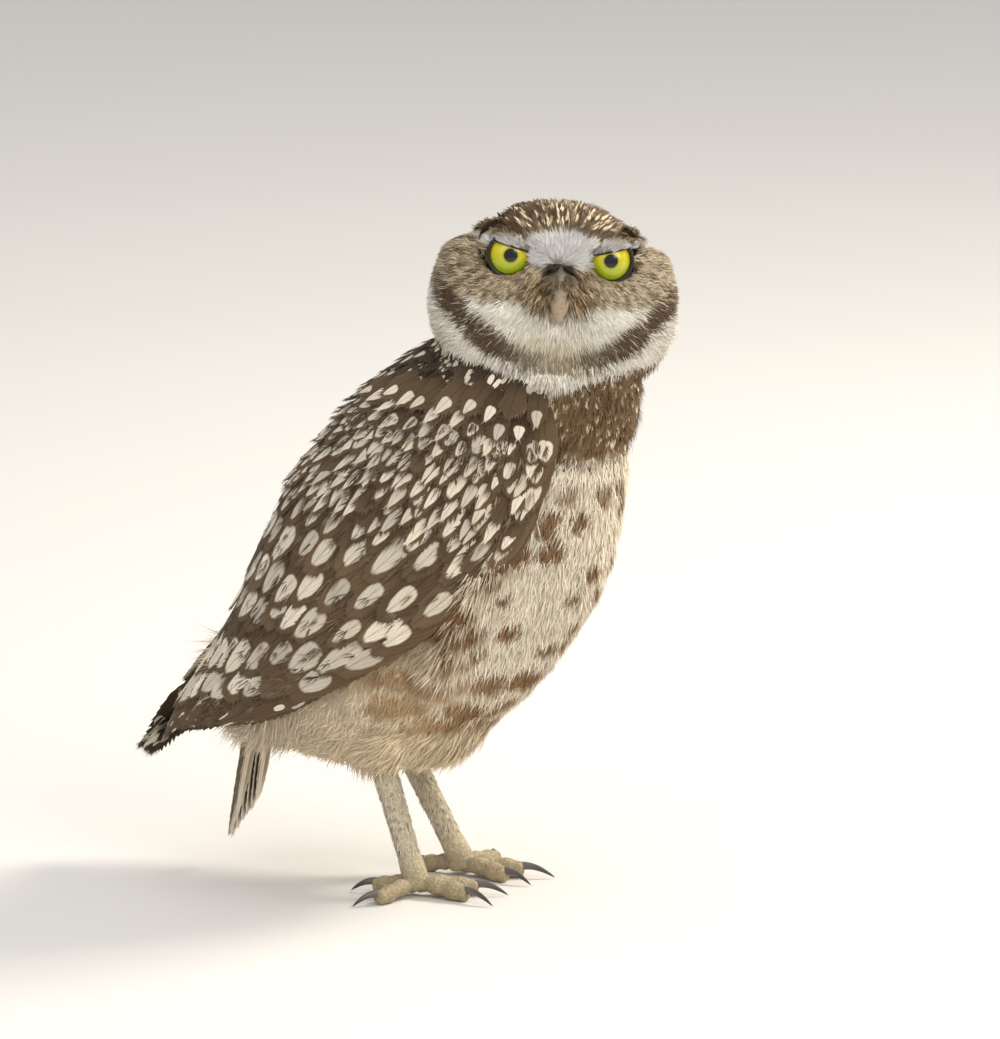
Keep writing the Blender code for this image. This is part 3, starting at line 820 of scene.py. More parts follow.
def set_attribute(mesh: bpy.types.Mesh, name: str, values: Array) -> None:
    """Stores a colour or vector for each point of a mesh.

    Args:
        mesh: The mesh.
        name: The attribute's name.
        values: One row for each point.
    """
    if name in ("base", "mark"):
        values = np.column_stack([values, np.ones(len(values))])
        kind, key = "FLOAT_COLOR", "color"
    else:
        kind, key = "FLOAT_VECTOR", "vector"
    attribute = mesh.attributes.new(name, kind, "POINT")
    attribute.data.foreach_set(key, values.astype(np.float32).ravel())


def formed(around: int, levels: int, place: Callable[[Array], Array]) -> bmesh.types.BMesh:
    """Makes a sphere and moves its points.

    Args:
        around: Points round it.
        levels: Points from pole to pole.
        place: Gives the places for all unit points at once.

    Returns:
        The form.
    """
    bm = bmesh.new()
    bmesh.ops.create_uvsphere(bm, u_segments=around, v_segments=levels, radius=1)
    moved = place(np.array([vert.co for vert in bm.verts]))
    for vert, point in zip(bm.verts, moved):
        vert.co = point
    return bm


@dataclass
class Dress:
    """The colours and marking of some feathers, one row for each.

    Marking holds the mark's share off the shaft, marks along the vane and their phase;
    mark_size holds its half width and half height as shares, and the pale fringe's strength.
    """

    base: Array
    mark: Array
    marking: Array
    mark_size: Array

    @staticmethod
    def plain(base: Array) -> "Dress":
        """Feathers without spots."""
        count = len(base)
        return Dress(base, base, np.tile([9.0, 1.0, 0.0], (count, 1)), np.tile([0.1, 0.1, 0.0], (count, 1)))

    def repeated(self, times: int) -> "Dress":
        """Each row repeated for the points of its feather."""
        rows = (self.base, self.mark, self.marking, self.mark_size)
        return Dress(*(np.repeat(row, times, axis=0) for row in rows))


@dataclass(frozen=True)
class Places:
    """Places where feathers grow, with the outward direction and the lie of the coat at each."""

    points: Array
    normals: Array
    flow: Array

    def pick(self, chosen: Array) -> "Places":
        """Some of the places, by mask or index."""
        return Places(self.points[chosen], self.normals[chosen], self.flow[chosen])

    def thinned(self, spacing: float, rng: np.random.Generator) -> "Places":
        """Places picked by chance that keep their distance.

        Args:
            spacing: The least distance between two.
            rng: Draws the order.

        Returns:
            The places kept.
        """
        order = rng.permutation(len(self.points))
        return self.pick(order[thin_out(self.points[order], np.full(len(order), spacing))])


@dataclass(frozen=True)
class TuftForm:
    """A tuft's blades: half width, sideways spread of tips and of roots, and their number."""

    width: float
    splay: float
    base_spread: float
    blades: int = 5


@dataclass
class Plumage:
    """Feathers of one coat piece, gathered as arrays and made into one mesh."""

    name: str
    unwrap: Callable[[Array], Array]
    patch: float = 0.003
    in_order: bool = False
    points: list[Array] = field(default_factory=list)
    corners: list[Array] = field(default_factory=list)
    vane: list[Array] = field(default_factory=list)
    roots: list[Array] = field(default_factory=list)
    owners: list[Array] = field(default_factory=list)
    dresses: list[Dress] = field(default_factory=list)
    total: int = 0
    feathers: int = 0

    def add(self, grid: Array, local: Array, faces: Array, dress: Dress, group: int = 1) -> None:
        """Adds feathers of one template.

        Args:
            grid: Points as (feathers, points of one feather, 3).
            local: The template's own coordinates, across and along, as (points, 2).
            faces: The template's triangles.
            dress: One row for each feather.
            group: How many feathers in a row share one tuft.
        """
        count, size = grid.shape[:2]
        starts = self.total + np.arange(count) * size
        self.points.append(grid.reshape(-1, 3))
        self.corners.append((faces[None] + starts[:, None, None]).reshape(-1, 3))
        self.vane.append(np.tile(local, (count, 1)))
        tufts = count // group
        self.roots.append(grid[::group, 0][:tufts])
        self.owners.append(self.feathers + np.repeat(np.arange(count) // group, size))
        self.dresses.append(dress.repeated(size))
        self.total += count * size
        self.feathers += tufts

    def sheets(self, spine: Array, normals: Array, half_width: Array, outline: list[float], columns: int,
               camber: float, dress: Dress, rng: np.random.Generator, fray: float = 0.1, barb: float = 0.5,
               splits: int = 3) -> None:
        """Adds flat vanes along spines.

        Args:
            spine: Middle lines as (feathers, rows, 3), root first.
            normals: Outward directions, of the same shape.
            half_width: One half width for each feather.
            outline: Share of the half width at each row.
            columns: Points across the vane, an odd number.
            camber: How far the edges drop, as a share of the half width.
            dress: One row for each feather.
            rng: Draws the ragged edge.
            fray: Raggedness of the edge as a share of the half width.
            barb: Length of the loose barbs past the edge, as a share of the half width.
            splits: Loose barbs for each stretch of the edge.
        """
        count, rows = spine.shape[:2]
        along = unit(np.gradient(spine, axis=1))
        side = unit(np.cross(normals, along))
        shares = np.linspace(-1, 1, columns)
        width = half_width[:, None] * np.array(outline)[None]
        ragged = 1 + fray * rng.uniform(-1, 1, (count, rows, columns)) * (np.abs(shares) > 0.9)
        reach = width[:, :, None] * shares * ragged
        grid = spine[:, :, None] + side[:, :, None] * reach[..., None]
        drop = camber * half_width[:, None, None] * shares**2 * np.array(outline)[None, :, None]
        grid = grid - normals[:, :, None] * drop[..., None]
        rounded = 0.42 * (1 - shares**2) * rng.uniform(0.5, 1.2, (count, columns))
        grid[:, -1] += (spine[:, -1] - spine[:, -2])[:, None] * rounded[..., None]
        u, v = np.meshgrid((shares + 1) / 2, np.linspace(0, 1, rows))
        index = np.arange(rows * columns).reshape(rows, columns)
        a, b, c, d = index[:-1, :-1], index[:-1, 1:], index[1:, 1:], index[1:, :-1]
        faces = np.stack([np.stack([a, b, c], -1), np.stack([a, c, d], -1)]).reshape(-1, 3)
        local = np.column_stack([u.ravel(), v.ravel()])
        grid = grid.reshape(count, -1, 3)
        rim = np.array([*index[rows // 2:, 0], *index[-1, 1:], *index[-2:rows // 2 - 1:-1, -1]])
        shares = (np.arange((len(rim) - 1) * splits) % splits / splits)[:, None]
        start, end = np.repeat(rim[:-1], splits), np.repeat(rim[1:], splits)
        loose, loose_local = [], []
        for step in (0.0, 1.0 / splits):
            loose.append(grid[:, start] + (grid[:, end] - grid[:, start]) * (shares + step))
            loose_local.append(local[start] + (local[end] - local[start]) * (shares + step))
        away = np.sign(np.round(loose_local[0][:, :1] - 0.5, 3)) * side[:, -1:, :] * 0.45
        reach = half_width[:, None] * barb * rng.uniform(0.1, 1.0, (count, len(start)))
        loose.append((loose[0] + loose[1]) / 2 + (along[:, -1:] + away) * reach[..., None])
        loose_local.append(loose_local[0] + np.array([0.0, 0.02]))
        size = rows * columns
        barbs = size + np.arange(3 * len(start)).reshape(3, -1).T
        self.add(np.concatenate([grid, *loose], axis=1), np.concatenate([local, *loose_local]),
                 np.concatenate([faces, barbs]), dress)

    def tufts(
        self,
        places: Places,
        length: Array,
        lift: Array,
        dress: Dress,
        rng: np.random.Generator,
        form: TuftForm,
    ) -> None:
        """Adds tufts of thin tapered blades.

        Args:
            places: Where they grow.
            length: Length of each tuft.
            lift: Rise of its tip as a share of the length.
            dress: One row for each tuft.
            rng: Draws each blade's lean and length.
            form: The blades' number and shape.
        """
        blades, spread = form.blades, form.base_spread
        given = (places.points, places.normals, places.flow, length, lift)
        root, normal, flow, length, lift = (np.repeat(value, blades, axis=0) for value in given)
        side = unit(np.cross(normal, flow))
        total = len(root)
        slide = rng.uniform(-spread, spread, (total, 2))
        slide[::blades] = 0
        root = root + side * slide[:, :1] + flow * slide[:, 1:]
        size = length * rng.uniform(0.65, 1.15, total)
        lean = rng.normal(0, form.splay, total)
        rise = lift * rng.uniform(0.6, 1.4, total)
        ahead = unit(flow + side * lean[:, None])
        over = unit(np.cross(normal, ahead))
        middle = root + (ahead * 0.5 + normal * (rise * 0.75)[:, None]) * size[:, None]
        tip = root + (ahead + normal * rise[:, None]) * size[:, None]
        root = root - normal * 0.5
        broad = over * form.width * rng.uniform(0.7, 1.3, total)[:, None]
        grid = np.stack([root - broad * 0.8, root + broad * 0.8, middle - broad, middle + broad, tip], axis=1)
        local = np.array([(0.3, 0), (0.7, 0), (0.3, 0.5), (0.7, 0.5), (0.5, 1)])
        faces = np.array([(0, 1, 3), (0, 3, 2), (2, 3, 4)])
        self.add(grid, local, faces, dress.repeated(blades), group=blades)

    def patches(self, owners: Array, vane: Array) -> Array:
        """Gives each tuft a small patch of the bake map, at its root's place.

        Args:
            owners: The tuft of each point.
            vane: Each point's place on its own vane.

        Returns:
            The map's coordinates.
        """
        place = self.unwrap(np.concatenate(self.roots))
        low, high = place.min(0), place.max(0)
        place = (place - low) / np.maximum(high - low, 1e-6)
        patch = self.patch
        if self.in_order:
            side = math.ceil(math.sqrt(len(place)))
            row = np.empty(len(place), int)
            row[np.argsort(place[:, 1], kind="stable")] = np.arange(len(place)) // side
            order = np.lexsort((place[:, 0], row))
            rank = np.empty(len(place), int)
            rank[order] = np.arange(len(place))
            place = np.column_stack([(rank % side + 0.5) / side, (rank // side + 0.5) / side])
            patch = 0.94 / side
        else:
            place = 0.004 + place * 0.992
        return place[owners] + (vane - 0.5) * patch

    def build(
        self, material: bpy.types.Material, slot: Slot, nodes: tuple[str, ...] = ()
    ) -> bpy.types.Object:
        """Makes the mesh with its attributes and UV maps.

        Args:
            material: The plumage finish.
            slot: The record's material slot; not used.
            nodes: CAD nodes that the piece replaces.

        Returns:
            The piece.
        """
        points, corners = np.concatenate(self.points), np.concatenate(self.corners).astype(np.int32)
        mesh = bpy.data.meshes.new(self.name)
        mesh.vertices.add(len(points))
        set_points(mesh, points)
        mesh.loops.add(corners.size)
        mesh.loops.foreach_set("vertex_index", corners.ravel())
        mesh.polygons.add(len(corners))
        mesh.polygons.foreach_set("loop_start", np.arange(0, corners.size, 3, dtype=np.int32))
        mesh.update(calc_edges=True)
        mesh.shade_smooth()
        for name in ("base", "mark", "marking", "mark_size"):
            set_attribute(mesh, name, np.concatenate([getattr(dress, name) for dress in self.dresses]))
        vane = np.concatenate(self.vane)
        bake = self.patches(np.concatenate(self.owners), vane)
        for name, coordinates in (("OFBake", bake), ("vane", vane)):
            layer = mesh.uv_layers.new(name=name)
            layer.uv.foreach_set("vector", coordinates[corners.ravel()].astype(np.float32).ravel())
        return dress_piece(in_scene(self.name, mesh), material, nodes)


def thin_out(points: Array, spacing: Array) -> Array:
    """Keeps points that stand at least their own spacing from those kept before.

    Args:
        points: Places in a chance order.
        spacing: The least distance wanted round each.

    Returns:
        The indices kept.
    """
    cell = float(spacing.max())
    taken: dict[tuple[int, int, int], list[int]] = {}
    kept = []
    keys = np.floor(points / cell).astype(int)
    near = [(a, b, c) for a in (-1, 0, 1) for b in (-1, 0, 1) for c in (-1, 0, 1)]
    for i, (point, key, gap) in enumerate(zip(points, keys, spacing)):
        others = [k for a, b, c in near for k in taken.get((key[0] + a, key[1] + b, key[2] + c), ())]
        if others and np.min(np.sum((points[others] - point) ** 2, axis=1)) < gap * gap:
            continue
        taken.setdefault(tuple(key), []).append(i)
        kept.append(i)
    return np.array(kept, int)


@dataclass(frozen=True)
class Markings:
    """The owl's colours as smooth functions of a place on its body."""

    crown: Colour = (0.105, 0.066, 0.034)
    crown_dark: Colour = (0.045, 0.030, 0.018)
    streak: Colour = (0.60, 0.48, 0.33)
    brow: Colour = (0.80, 0.79, 0.78)
    disc: Colour = (0.40, 0.31, 0.195)
    disc_pale: Colour = (0.68, 0.58, 0.42)
    disc_dark: Colour = (0.13, 0.09, 0.05)
    disc_line: Colour = (0.10, 0.065, 0.035)
    bridge: Colour = (0.10, 0.09, 0.085)
    cheek: Colour = (0.88, 0.84, 0.75)
    throat: Colour = (0.78, 0.71, 0.54)
    strap: Colour = (0.085, 0.042, 0.016)
    chin_dark: Colour = (0.40, 0.32, 0.20)
    bristle: Colour = (0.36, 0.235, 0.115)
    bristle_pale: Colour = (0.66, 0.52, 0.33)
    mantle: Colour = (0.070, 0.047, 0.029)
    band: Colour = (0.19, 0.122, 0.062)
    breast: Colour = (0.93, 0.84, 0.68)
    flank: Colour = (0.70, 0.56, 0.37)
    belly: Colour = (0.84, 0.70, 0.49)
    vent: Colour = (0.82, 0.70, 0.53)
    bar: Colour = (0.23, 0.105, 0.028)
    bar_warm: Colour = (0.42, 0.22, 0.065)
    ring_drop: float = 3.2
    blotch_gap: tuple[float, float] = (9.6, 9.4)
    spot: Colour = (0.68, 0.61, 0.49)
    shank: Colour = (0.74, 0.66, 0.50)

    def brow_line(self, away: Array) -> Array:
        """Height of the white brow's middle, from the distance off the head's middle."""
        return 1.2 + 0.13 * away

    def strap_line(self, away: Array) -> Array:
        """Height of the brown chin strap's middle."""
        return -29.3 + 13.2 * (away / 30) ** 2

    def head(self, local: Array) -> Array:
        """Colours of the head.

        Args:
            local: Head points.

        Returns:
            One colour for each.
        """
        ahead, side, height = local.T
        away = np.abs(side)
        front = fade(ahead, -9, -1)
        colour = np.tile(self.crown, (len(local), 1))
        colour = mix(colour, self.streak, 0.30 * bell(side - 6, 12) * fade(height, 4, 12))
        corner = fade(away, 15, 22) * front * (1 - fade(height, 15, 21))
        colour = mix(colour, self.disc, 0.65 * corner)
        rise = height - self.brow_line(away)
        under = 1 - fade(height, 4.5, 7.5)
        strap = height - self.strap_line(away) + 0.8 * ripple(side, 1.0)
        disc = under * front
        colour = mix(colour, self.disc, disc)
        # Painted light: the disc turns paler towards the head's left side, the side that faces the key light.
        colour = mix(colour, self.disc_pale, disc * 0.5 * fade(side, 8, 26))
        colour = mix(colour, self.disc_pale, disc * fade(self.streaks(local), 0.15, 0.75) * 0.8)
        colour = mix(colour, self.disc_line, disc * fade(-self.streaks(local), 0.2, 0.85) * 0.8)
        cheek_top = -12.2 - 1.6 * bell(away - 20, 8) + 2.2 * fade(away, 30, 38)
        white = (1 - fade(height - cheek_top, -1.2, 1.0)) * fade(ahead, -13, -5)
        colour = mix(colour, self.cheek, white)
        chin = white * (1 - fade(away, 5, 15)) * (1 - fade(height, -26, -18))
        colour = mix(colour, self.throat, chin)
        beard = bell(away - 5.0, 2.9) * bell(height + 9, 4.6) * front
        colour = mix(colour, self.bristle, np.clip(beard * 1.3, 0, 1))
        bridge = bell(away, 2.6) * bell(height + 4.0, 2.2) * front
        colour = mix(colour, self.bridge, np.clip(bridge * 1.2, 0, 0.9))
        thickness = 3.6 - 2.2 * fade(away, 3, 19)
        brow = (1 - fade(np.abs(rise), thickness - 0.6, thickness + 0.7)) * (1 - fade(away, 22, 27)) * front
        colour = mix(colour, self.brow, brow)
        strength = 0.95 - 0.35 * bell(side, 9)
        thick = 3.2 + 1.4 * fade(away, 8, 22) + 0.5 * ripple(side * 1.3, 4.0)
        band = (1 - fade(np.abs(strap) - thick, -0.5, 0.8)) * (1 - fade(away, 34, 38)) * strength
        colour = mix(colour, self.strap, band)
        outer = self.ring_drop * fade(away, 20, 33)
        far = np.abs(strap + 6.0 + outer) + 0.4 * ripple(side, 3.0) - outer
        return mix(colour, self.cheek, (1 - fade(far, 1.5, 2.6)) * fade(ahead, -16, -9))

    def streaks(self, local: Array) -> Array:
        """Lines that run out from the eye over the facial disc.

        Args:
            local: Head points.

        Returns:
            -1 to 1 for each.
        """
        _, side, height = local.T
        away = np.abs(side) - HEAD.eye_side
        from_eye = np.hypot(away, height)
        turn = np.arctan2(height, away)
        return np.sin(turn * 21 + 1.2 * np.sin(from_eye * 0.45) + np.sign(side)) * fade(from_eye, 7, 9)

    def blotches(self, points: Array) -> tuple[Array, Array]:
        """The brown blotches of breast and belly.

        Args:
            points: Body points.

        Returns:
            1 inside a blotch and 0 outside, and how orange it is there.
        """
        turn, z = self.turn(points), points[:, 2]
        arc = turn * np.sign(points[:, 1]) * 0.74
        chance = np.random.default_rng(SEED + 30).uniform(size=(64, 64, 4))
        column = np.floor(arc / self.blotch_gap[0]).astype(int)
        row = np.floor(z / self.blotch_gap[1]).astype(int)
        inside = np.zeros(len(points))
        low = 1 - fade(z, 78, 100)
        wide = 3.8 + 2.2 * low * fade(turn, 10, 45) - 0.9 * fade(z, 118, 134)
        tall = 3.1 + 0.6 * low + 1.4 * fade(z, 118, 134)
        share = 0.86 - 0.5 * fade(turn, 52, 66) * fade(z, 84, 92)
        for step_column in (-1, 0, 1):
            for step_row in (-1, 0, 1):
                i, j = column + step_column, row + step_row
                draw = chance[i % 64, j % 64]
                middle = (i + 0.25 + 0.5 * draw[:, 0] + 0.5 * (j % 2)) * self.blotch_gap[0]
                level = (j + 0.25 + 0.5 * draw[:, 1]) * self.blotch_gap[1]
                size = 0.65 + 0.6 * draw[:, 2]
                far = ((arc - middle) / (wide * size)) ** 2 + ((z - level) / (tall * size)) ** 2
                inside = np.maximum(inside, (1 - fade(far, 0.7, 1.3)) * (draw[:, 3] < share))
        inside *= fade(z, 58, 64) * (1 - fade(z, 142, 150)) * (1 - fade(turn, 84, 92))
        return inside, low * fade(turn, 24, 46)

    def body(self, points: Array) -> Array:
        """Colours of the trunk and legs.

        Args:
            points: Body points.

        Returns:
            One colour for each.
        """
        x, _, z = points.T
        turn = self.turn(points)
        colour = np.tile(self.breast, (len(points), 1))
        colour = mix(colour, self.flank, fade(turn, 40, 70) * fade(z, 60, 85) * (1 - fade(z, 118, 140)))
        colour = mix(colour, self.belly, (1 - fade(z, 55, 96)) * (1 - fade(x, 10, 50)))
        colour = mix(colour, self.vent, (1 - fade(x, -45, -20)) * (1 - fade(z, 70, 95)))
        blotch, warm = self.blotches(points)
        colour = mix(colour, mix(self.bar, self.bar_warm, warm), blotch * (0.9 - 0.25 * warm))
        border = 1.6 * ripple(turn * 0.6, 1.0)
        colour = mix(colour, self.band, fade(z + border, 151, 157) * (1 - fade(turn, 44, 56)))
        back = fade(turn, 46, 60) * fade(z, 138, 152) + fade(turn, 110, 135) * fade(z, 80, 92)
        colour = mix(colour, self.mantle, np.clip(back, 0, 1))
        return mix(colour, self.shank, 1 - fade(z, 40, 50))

    def turn(self, points: Array) -> Array:
        """Degrees from the front of the trunk round to its back."""
        return np.degrees(np.arctan2(np.abs(points[:, 1]), points[:, 0] - trunk_middle(points[:, 2])))

    def on_head(self, points: Array) -> Array:
        """Tells the head down to its white ring from the trunk.

        Args:
            points: Body points.

        Returns:
            1 on the head and 0 on the trunk.
        """
        local = HEAD.local(points)
        away = np.abs(local[:, 1])
        edge = local[:, 2] - self.strap_line(away) + 2 * self.ring_drop * fade(away, 20, 33)
        edge += 0.8 * ripple(local[:, 1], 2.0)
        return fade(edge, -9.0, -8.0) * fade(points[:, 2], 164, 168)

    def at(self, points: Array) -> Array:
        """Colours anywhere on the owl."""
        return mix(self.body(points), self.head(HEAD.local(points)), self.on_head(points))


MARKS = Markings()


def round_body(points: Array) -> Array:
    """An unwrap of the trunk: turn about its leaning axis, and height."""
    turn = np.arctan2(points[:, 1], points[:, 0] - trunk_middle(points[:, 2]))
    return np.column_stack([turn, points[:, 2]])


def round_head(points: Array) -> Array:
    """An unwrap of the head: turn about its own axis, and height."""
    local = HEAD.local(points)
    return np.column_stack([np.arctan2(local[:, 1], local[:, 0]), local[:, 2]])


@dataclass
class Skin:
    """One skin under the whole coat, and the places on it where feathers grow."""

    flesh: tuple[str, ...] = (
        "head", "neck", "torso", "thigh_left", "thigh_right", "shank_left", "shank_right",
    )
    voxel: float = 1.25
    smoothing: int = 4
    body_depth: float = 2.6
    head_depth: float = 1.5
    points: Array = field(init=False)
    triangles: Array = field(init=False)
    normals: Array = field(init=False)
    tree: BVHTree = field(init=False)

    def build(self) -> bpy.types.Object:
        """Fuses the nodes of flesh, smooths them and draws them in by the coat's depth.

        Returns:
            The skin.
        """
        bm = bmesh.new()
        for node in self.flesh:
            bm.from_mesh(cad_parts[node].data)
        bmesh.ops.remove_doubles(bm, verts=bm.verts, dist=1e-6)
        obj = in_scene("skin", mesh_from_bmesh("skin", bm))
        fuse(obj, self.voxel, self.smoothing)
        self.draw_in(obj.data)
        set_attribute(obj.data, "base", MARKS.at(self.points))
        obj.data.shade_smooth()
        self.read(obj.data)
        return dress_piece(obj, SkinFinish().make(), self.flesh)

    def draw_in(self, mesh: bpy.types.Mesh) -> None:
        """Moves the skin inwards by the coat's depth, which is small on face and legs.

        Args:
            mesh: The skin's mesh.
        """
        points = body_points(mesh)
        normals = np.array([tuple(vert.normal) for vert in mesh.vertices])
        local = HEAD.local(points)
        ahead, side, height = local.T
        on_head = MARKS.on_head(points)
        depth = np.full(len(points), self.body_depth)
        head = self.head_depth + 1.6 * fade(height, 9, 17) + 1.0 * fade(-ahead, -4, 4)
        depth += (head - depth) * on_head
        depth *= 1 - 0.55 * fade(ahead, 4, 14) * fade(height, -32, -24)
        depth += 3.6 * fade(np.abs(side), 14, 28) * fade(height, 0, 10) * on_head
        depth *= 0.12 + 0.88 * fade(points[:, 2], 42, 56)
        self.points = points - normals * depth[:, None]
        set_points(mesh, self.points)
        mesh.update()

    def read(self, mesh: bpy.types.Mesh) -> None:
        """Keeps the skin's triangles, normals and search tree.

        Args:
            mesh: The skin's finished mesh.
        """
        mesh.calc_loop_triangles()
        flat = np.empty(len(mesh.loop_triangles) * 3, np.int32)
        mesh.loop_triangles.foreach_get("vertices", flat)
        self.triangles = flat.reshape(-1, 3)
        self.normals = np.array([tuple(vert.normal) for vert in mesh.vertices])
        self.tree = BVHTree.FromPolygons([tuple(p) for p in self.points], [tuple(t) for t in self.triangles])

    def scatter(self, per_mm2: float, rng: np.random.Generator) -> Places:
        """Draws chance places all over the skin.

        Args:
            per_mm2: How many for each square millimetre.
            rng: Draws them.

        Returns:
            The places.
        """
        a, b, c = (self.points[self.triangles[:, k]] for k in range(3))
        area = np.linalg.norm(np.cross(b - a, c - a), axis=1) / 2
        chosen = rng.choice(len(area), int(area.sum() * per_mm2), p=area / area.sum())
        first, second = rng.uniform(size=(2, len(chosen)))
        flip = first + second > 1
        first, second = np.where(flip, 1 - first, first), np.where(flip, 1 - second, second)
        shares = np.column_stack([1 - first - second, first, second])[:, :, None]
        corner = self.triangles[chosen]
        points = np.sum(self.points[corner] * shares, axis=1)
        normals = unit(np.sum(self.normals[corner] * shares, axis=1))
        return Places(points, normals, coat_flow(points, normals))

    def spines(self, places: Places, length: Array, lift: Array, rows: int) -> tuple[Array, Array]:
        """Middle lines of feathers that follow the skin and rise a little off it.

        Args:
            places: One place for each feather.
            length: Lengths in millimetres.
            lift: Heights of the tips over the skin.
            rows: Points along each line.

        Returns:
            Lines as (feathers, rows, 3), and outward directions of the same shape.
        """
        spine, outward = np.empty((2, len(length), rows, 3))
        for k in range(rows):
            share = k / (rows - 1)
            for i, point in enumerate(places.points + places.flow * (length * share)[:, None]):
                spine[i, k], outward[i, k], _, _ = self.tree.find_nearest(point)
            spine[:, k] += outward[:, k] * (lift * share**0.8 - 0.4 * (1 - share))[:, None]
        return spine, unit(outward + places.normals[:, None] * 0.5)


def coat_flow(points: Array, normals: Array) -> Array:
    """The lie of the coat: away from the beak on the head, down and back on the body.

    Args:
        points: Places on the skin.
        normals: Outward directions there.

    Returns:
        Directions along the surface.
    """
    local = HEAD.local(points)
    ahead, side, height = local.T
    from_beak = local - np.array([24.0, 0.0, -5.0])
    turned = from_beak * np.array([1.0, 1.0, 0.85])
    eye = np.sign(side)[:, None] * np.array([0.0, HEAD.eye_side, 0.0])
    from_eye = (local - eye) * np.array([0.0, 1.0, 1.0])
    below = bell(np.linalg.norm(from_eye, axis=1), 17) * (1 - fade(height, 1, 5)) * fade(ahead, 0, 8)
    turned = unit(turned) * (1 - 0.6 * below)[:, None] + unit(from_eye) * (0.6 * below)[:, None]
    beard = (bell(np.abs(side) - 3.5, 4.5) * bell(height + 9, 9) * fade(ahead, 10, 17))[:, None]
    fall = np.column_stack([np.full(len(side), 0.15), 0.30 * np.sign(side), -np.ones(len(side))])
    turned = turned * (1 - 0.8 * beard) + fall * 0.8 * beard
    down = np.array([0.0, 0.0, -1.0])
    nape = fade(-ahead, 8, 24)
    turned = turned * (1 - nape)[:, None] + down * nape[:, None]
    low = (1 - fade(height, -34, -24))[:, None]
    turned = turned * (1 - 0.75 * low) + down * 0.75 * low
    head = turned @ HEAD.turn().T
    lean = np.array([-0.45, 0.0, -1.0])
    body = np.tile(lean, (len(points), 1))
    under = (1 - fade(points[:, 2], 52, 72)) * fade(points[:, 2], 46, 50)
    body[:, 0] -= 0.9 * under
    legs = 1 - fade(points[:, 2], 44, 52)
    body = body * (1 - legs)[:, None] + np.array([0.15, 0, -1.0]) * legs[:, None]
    share = MARKS.on_head(points)[:, None]
    return across_plane(head * share + body * (1 - share), normals)


# Outlines of the vanes, as shares of the half width from root to tip.
CONTOUR = [0.55, 0.95, 1.0, 0.86, 0.42]
SMALL = [0.6, 1.0, 0.85, 0.35]
COVERT = [0.5, 0.8, 0.95, 1.0, 1.0, 0.97, 0.86, 0.55]
FLIGHT = [0.5, 0.85, 1.0, 1.0, 0.98, 0.9, 0.72, 0.3]
# Half width of the mark on a vane that shows none.
UNMARKED = 0.001


def vary(colours: Array, rng: np.random.Generator, amount: float = 0.14) -> Array:
    """Colours with a little chance change of brightness for each feather."""
    return colours * (1 + amount * rng.normal(0, 1, (len(colours), 1)))


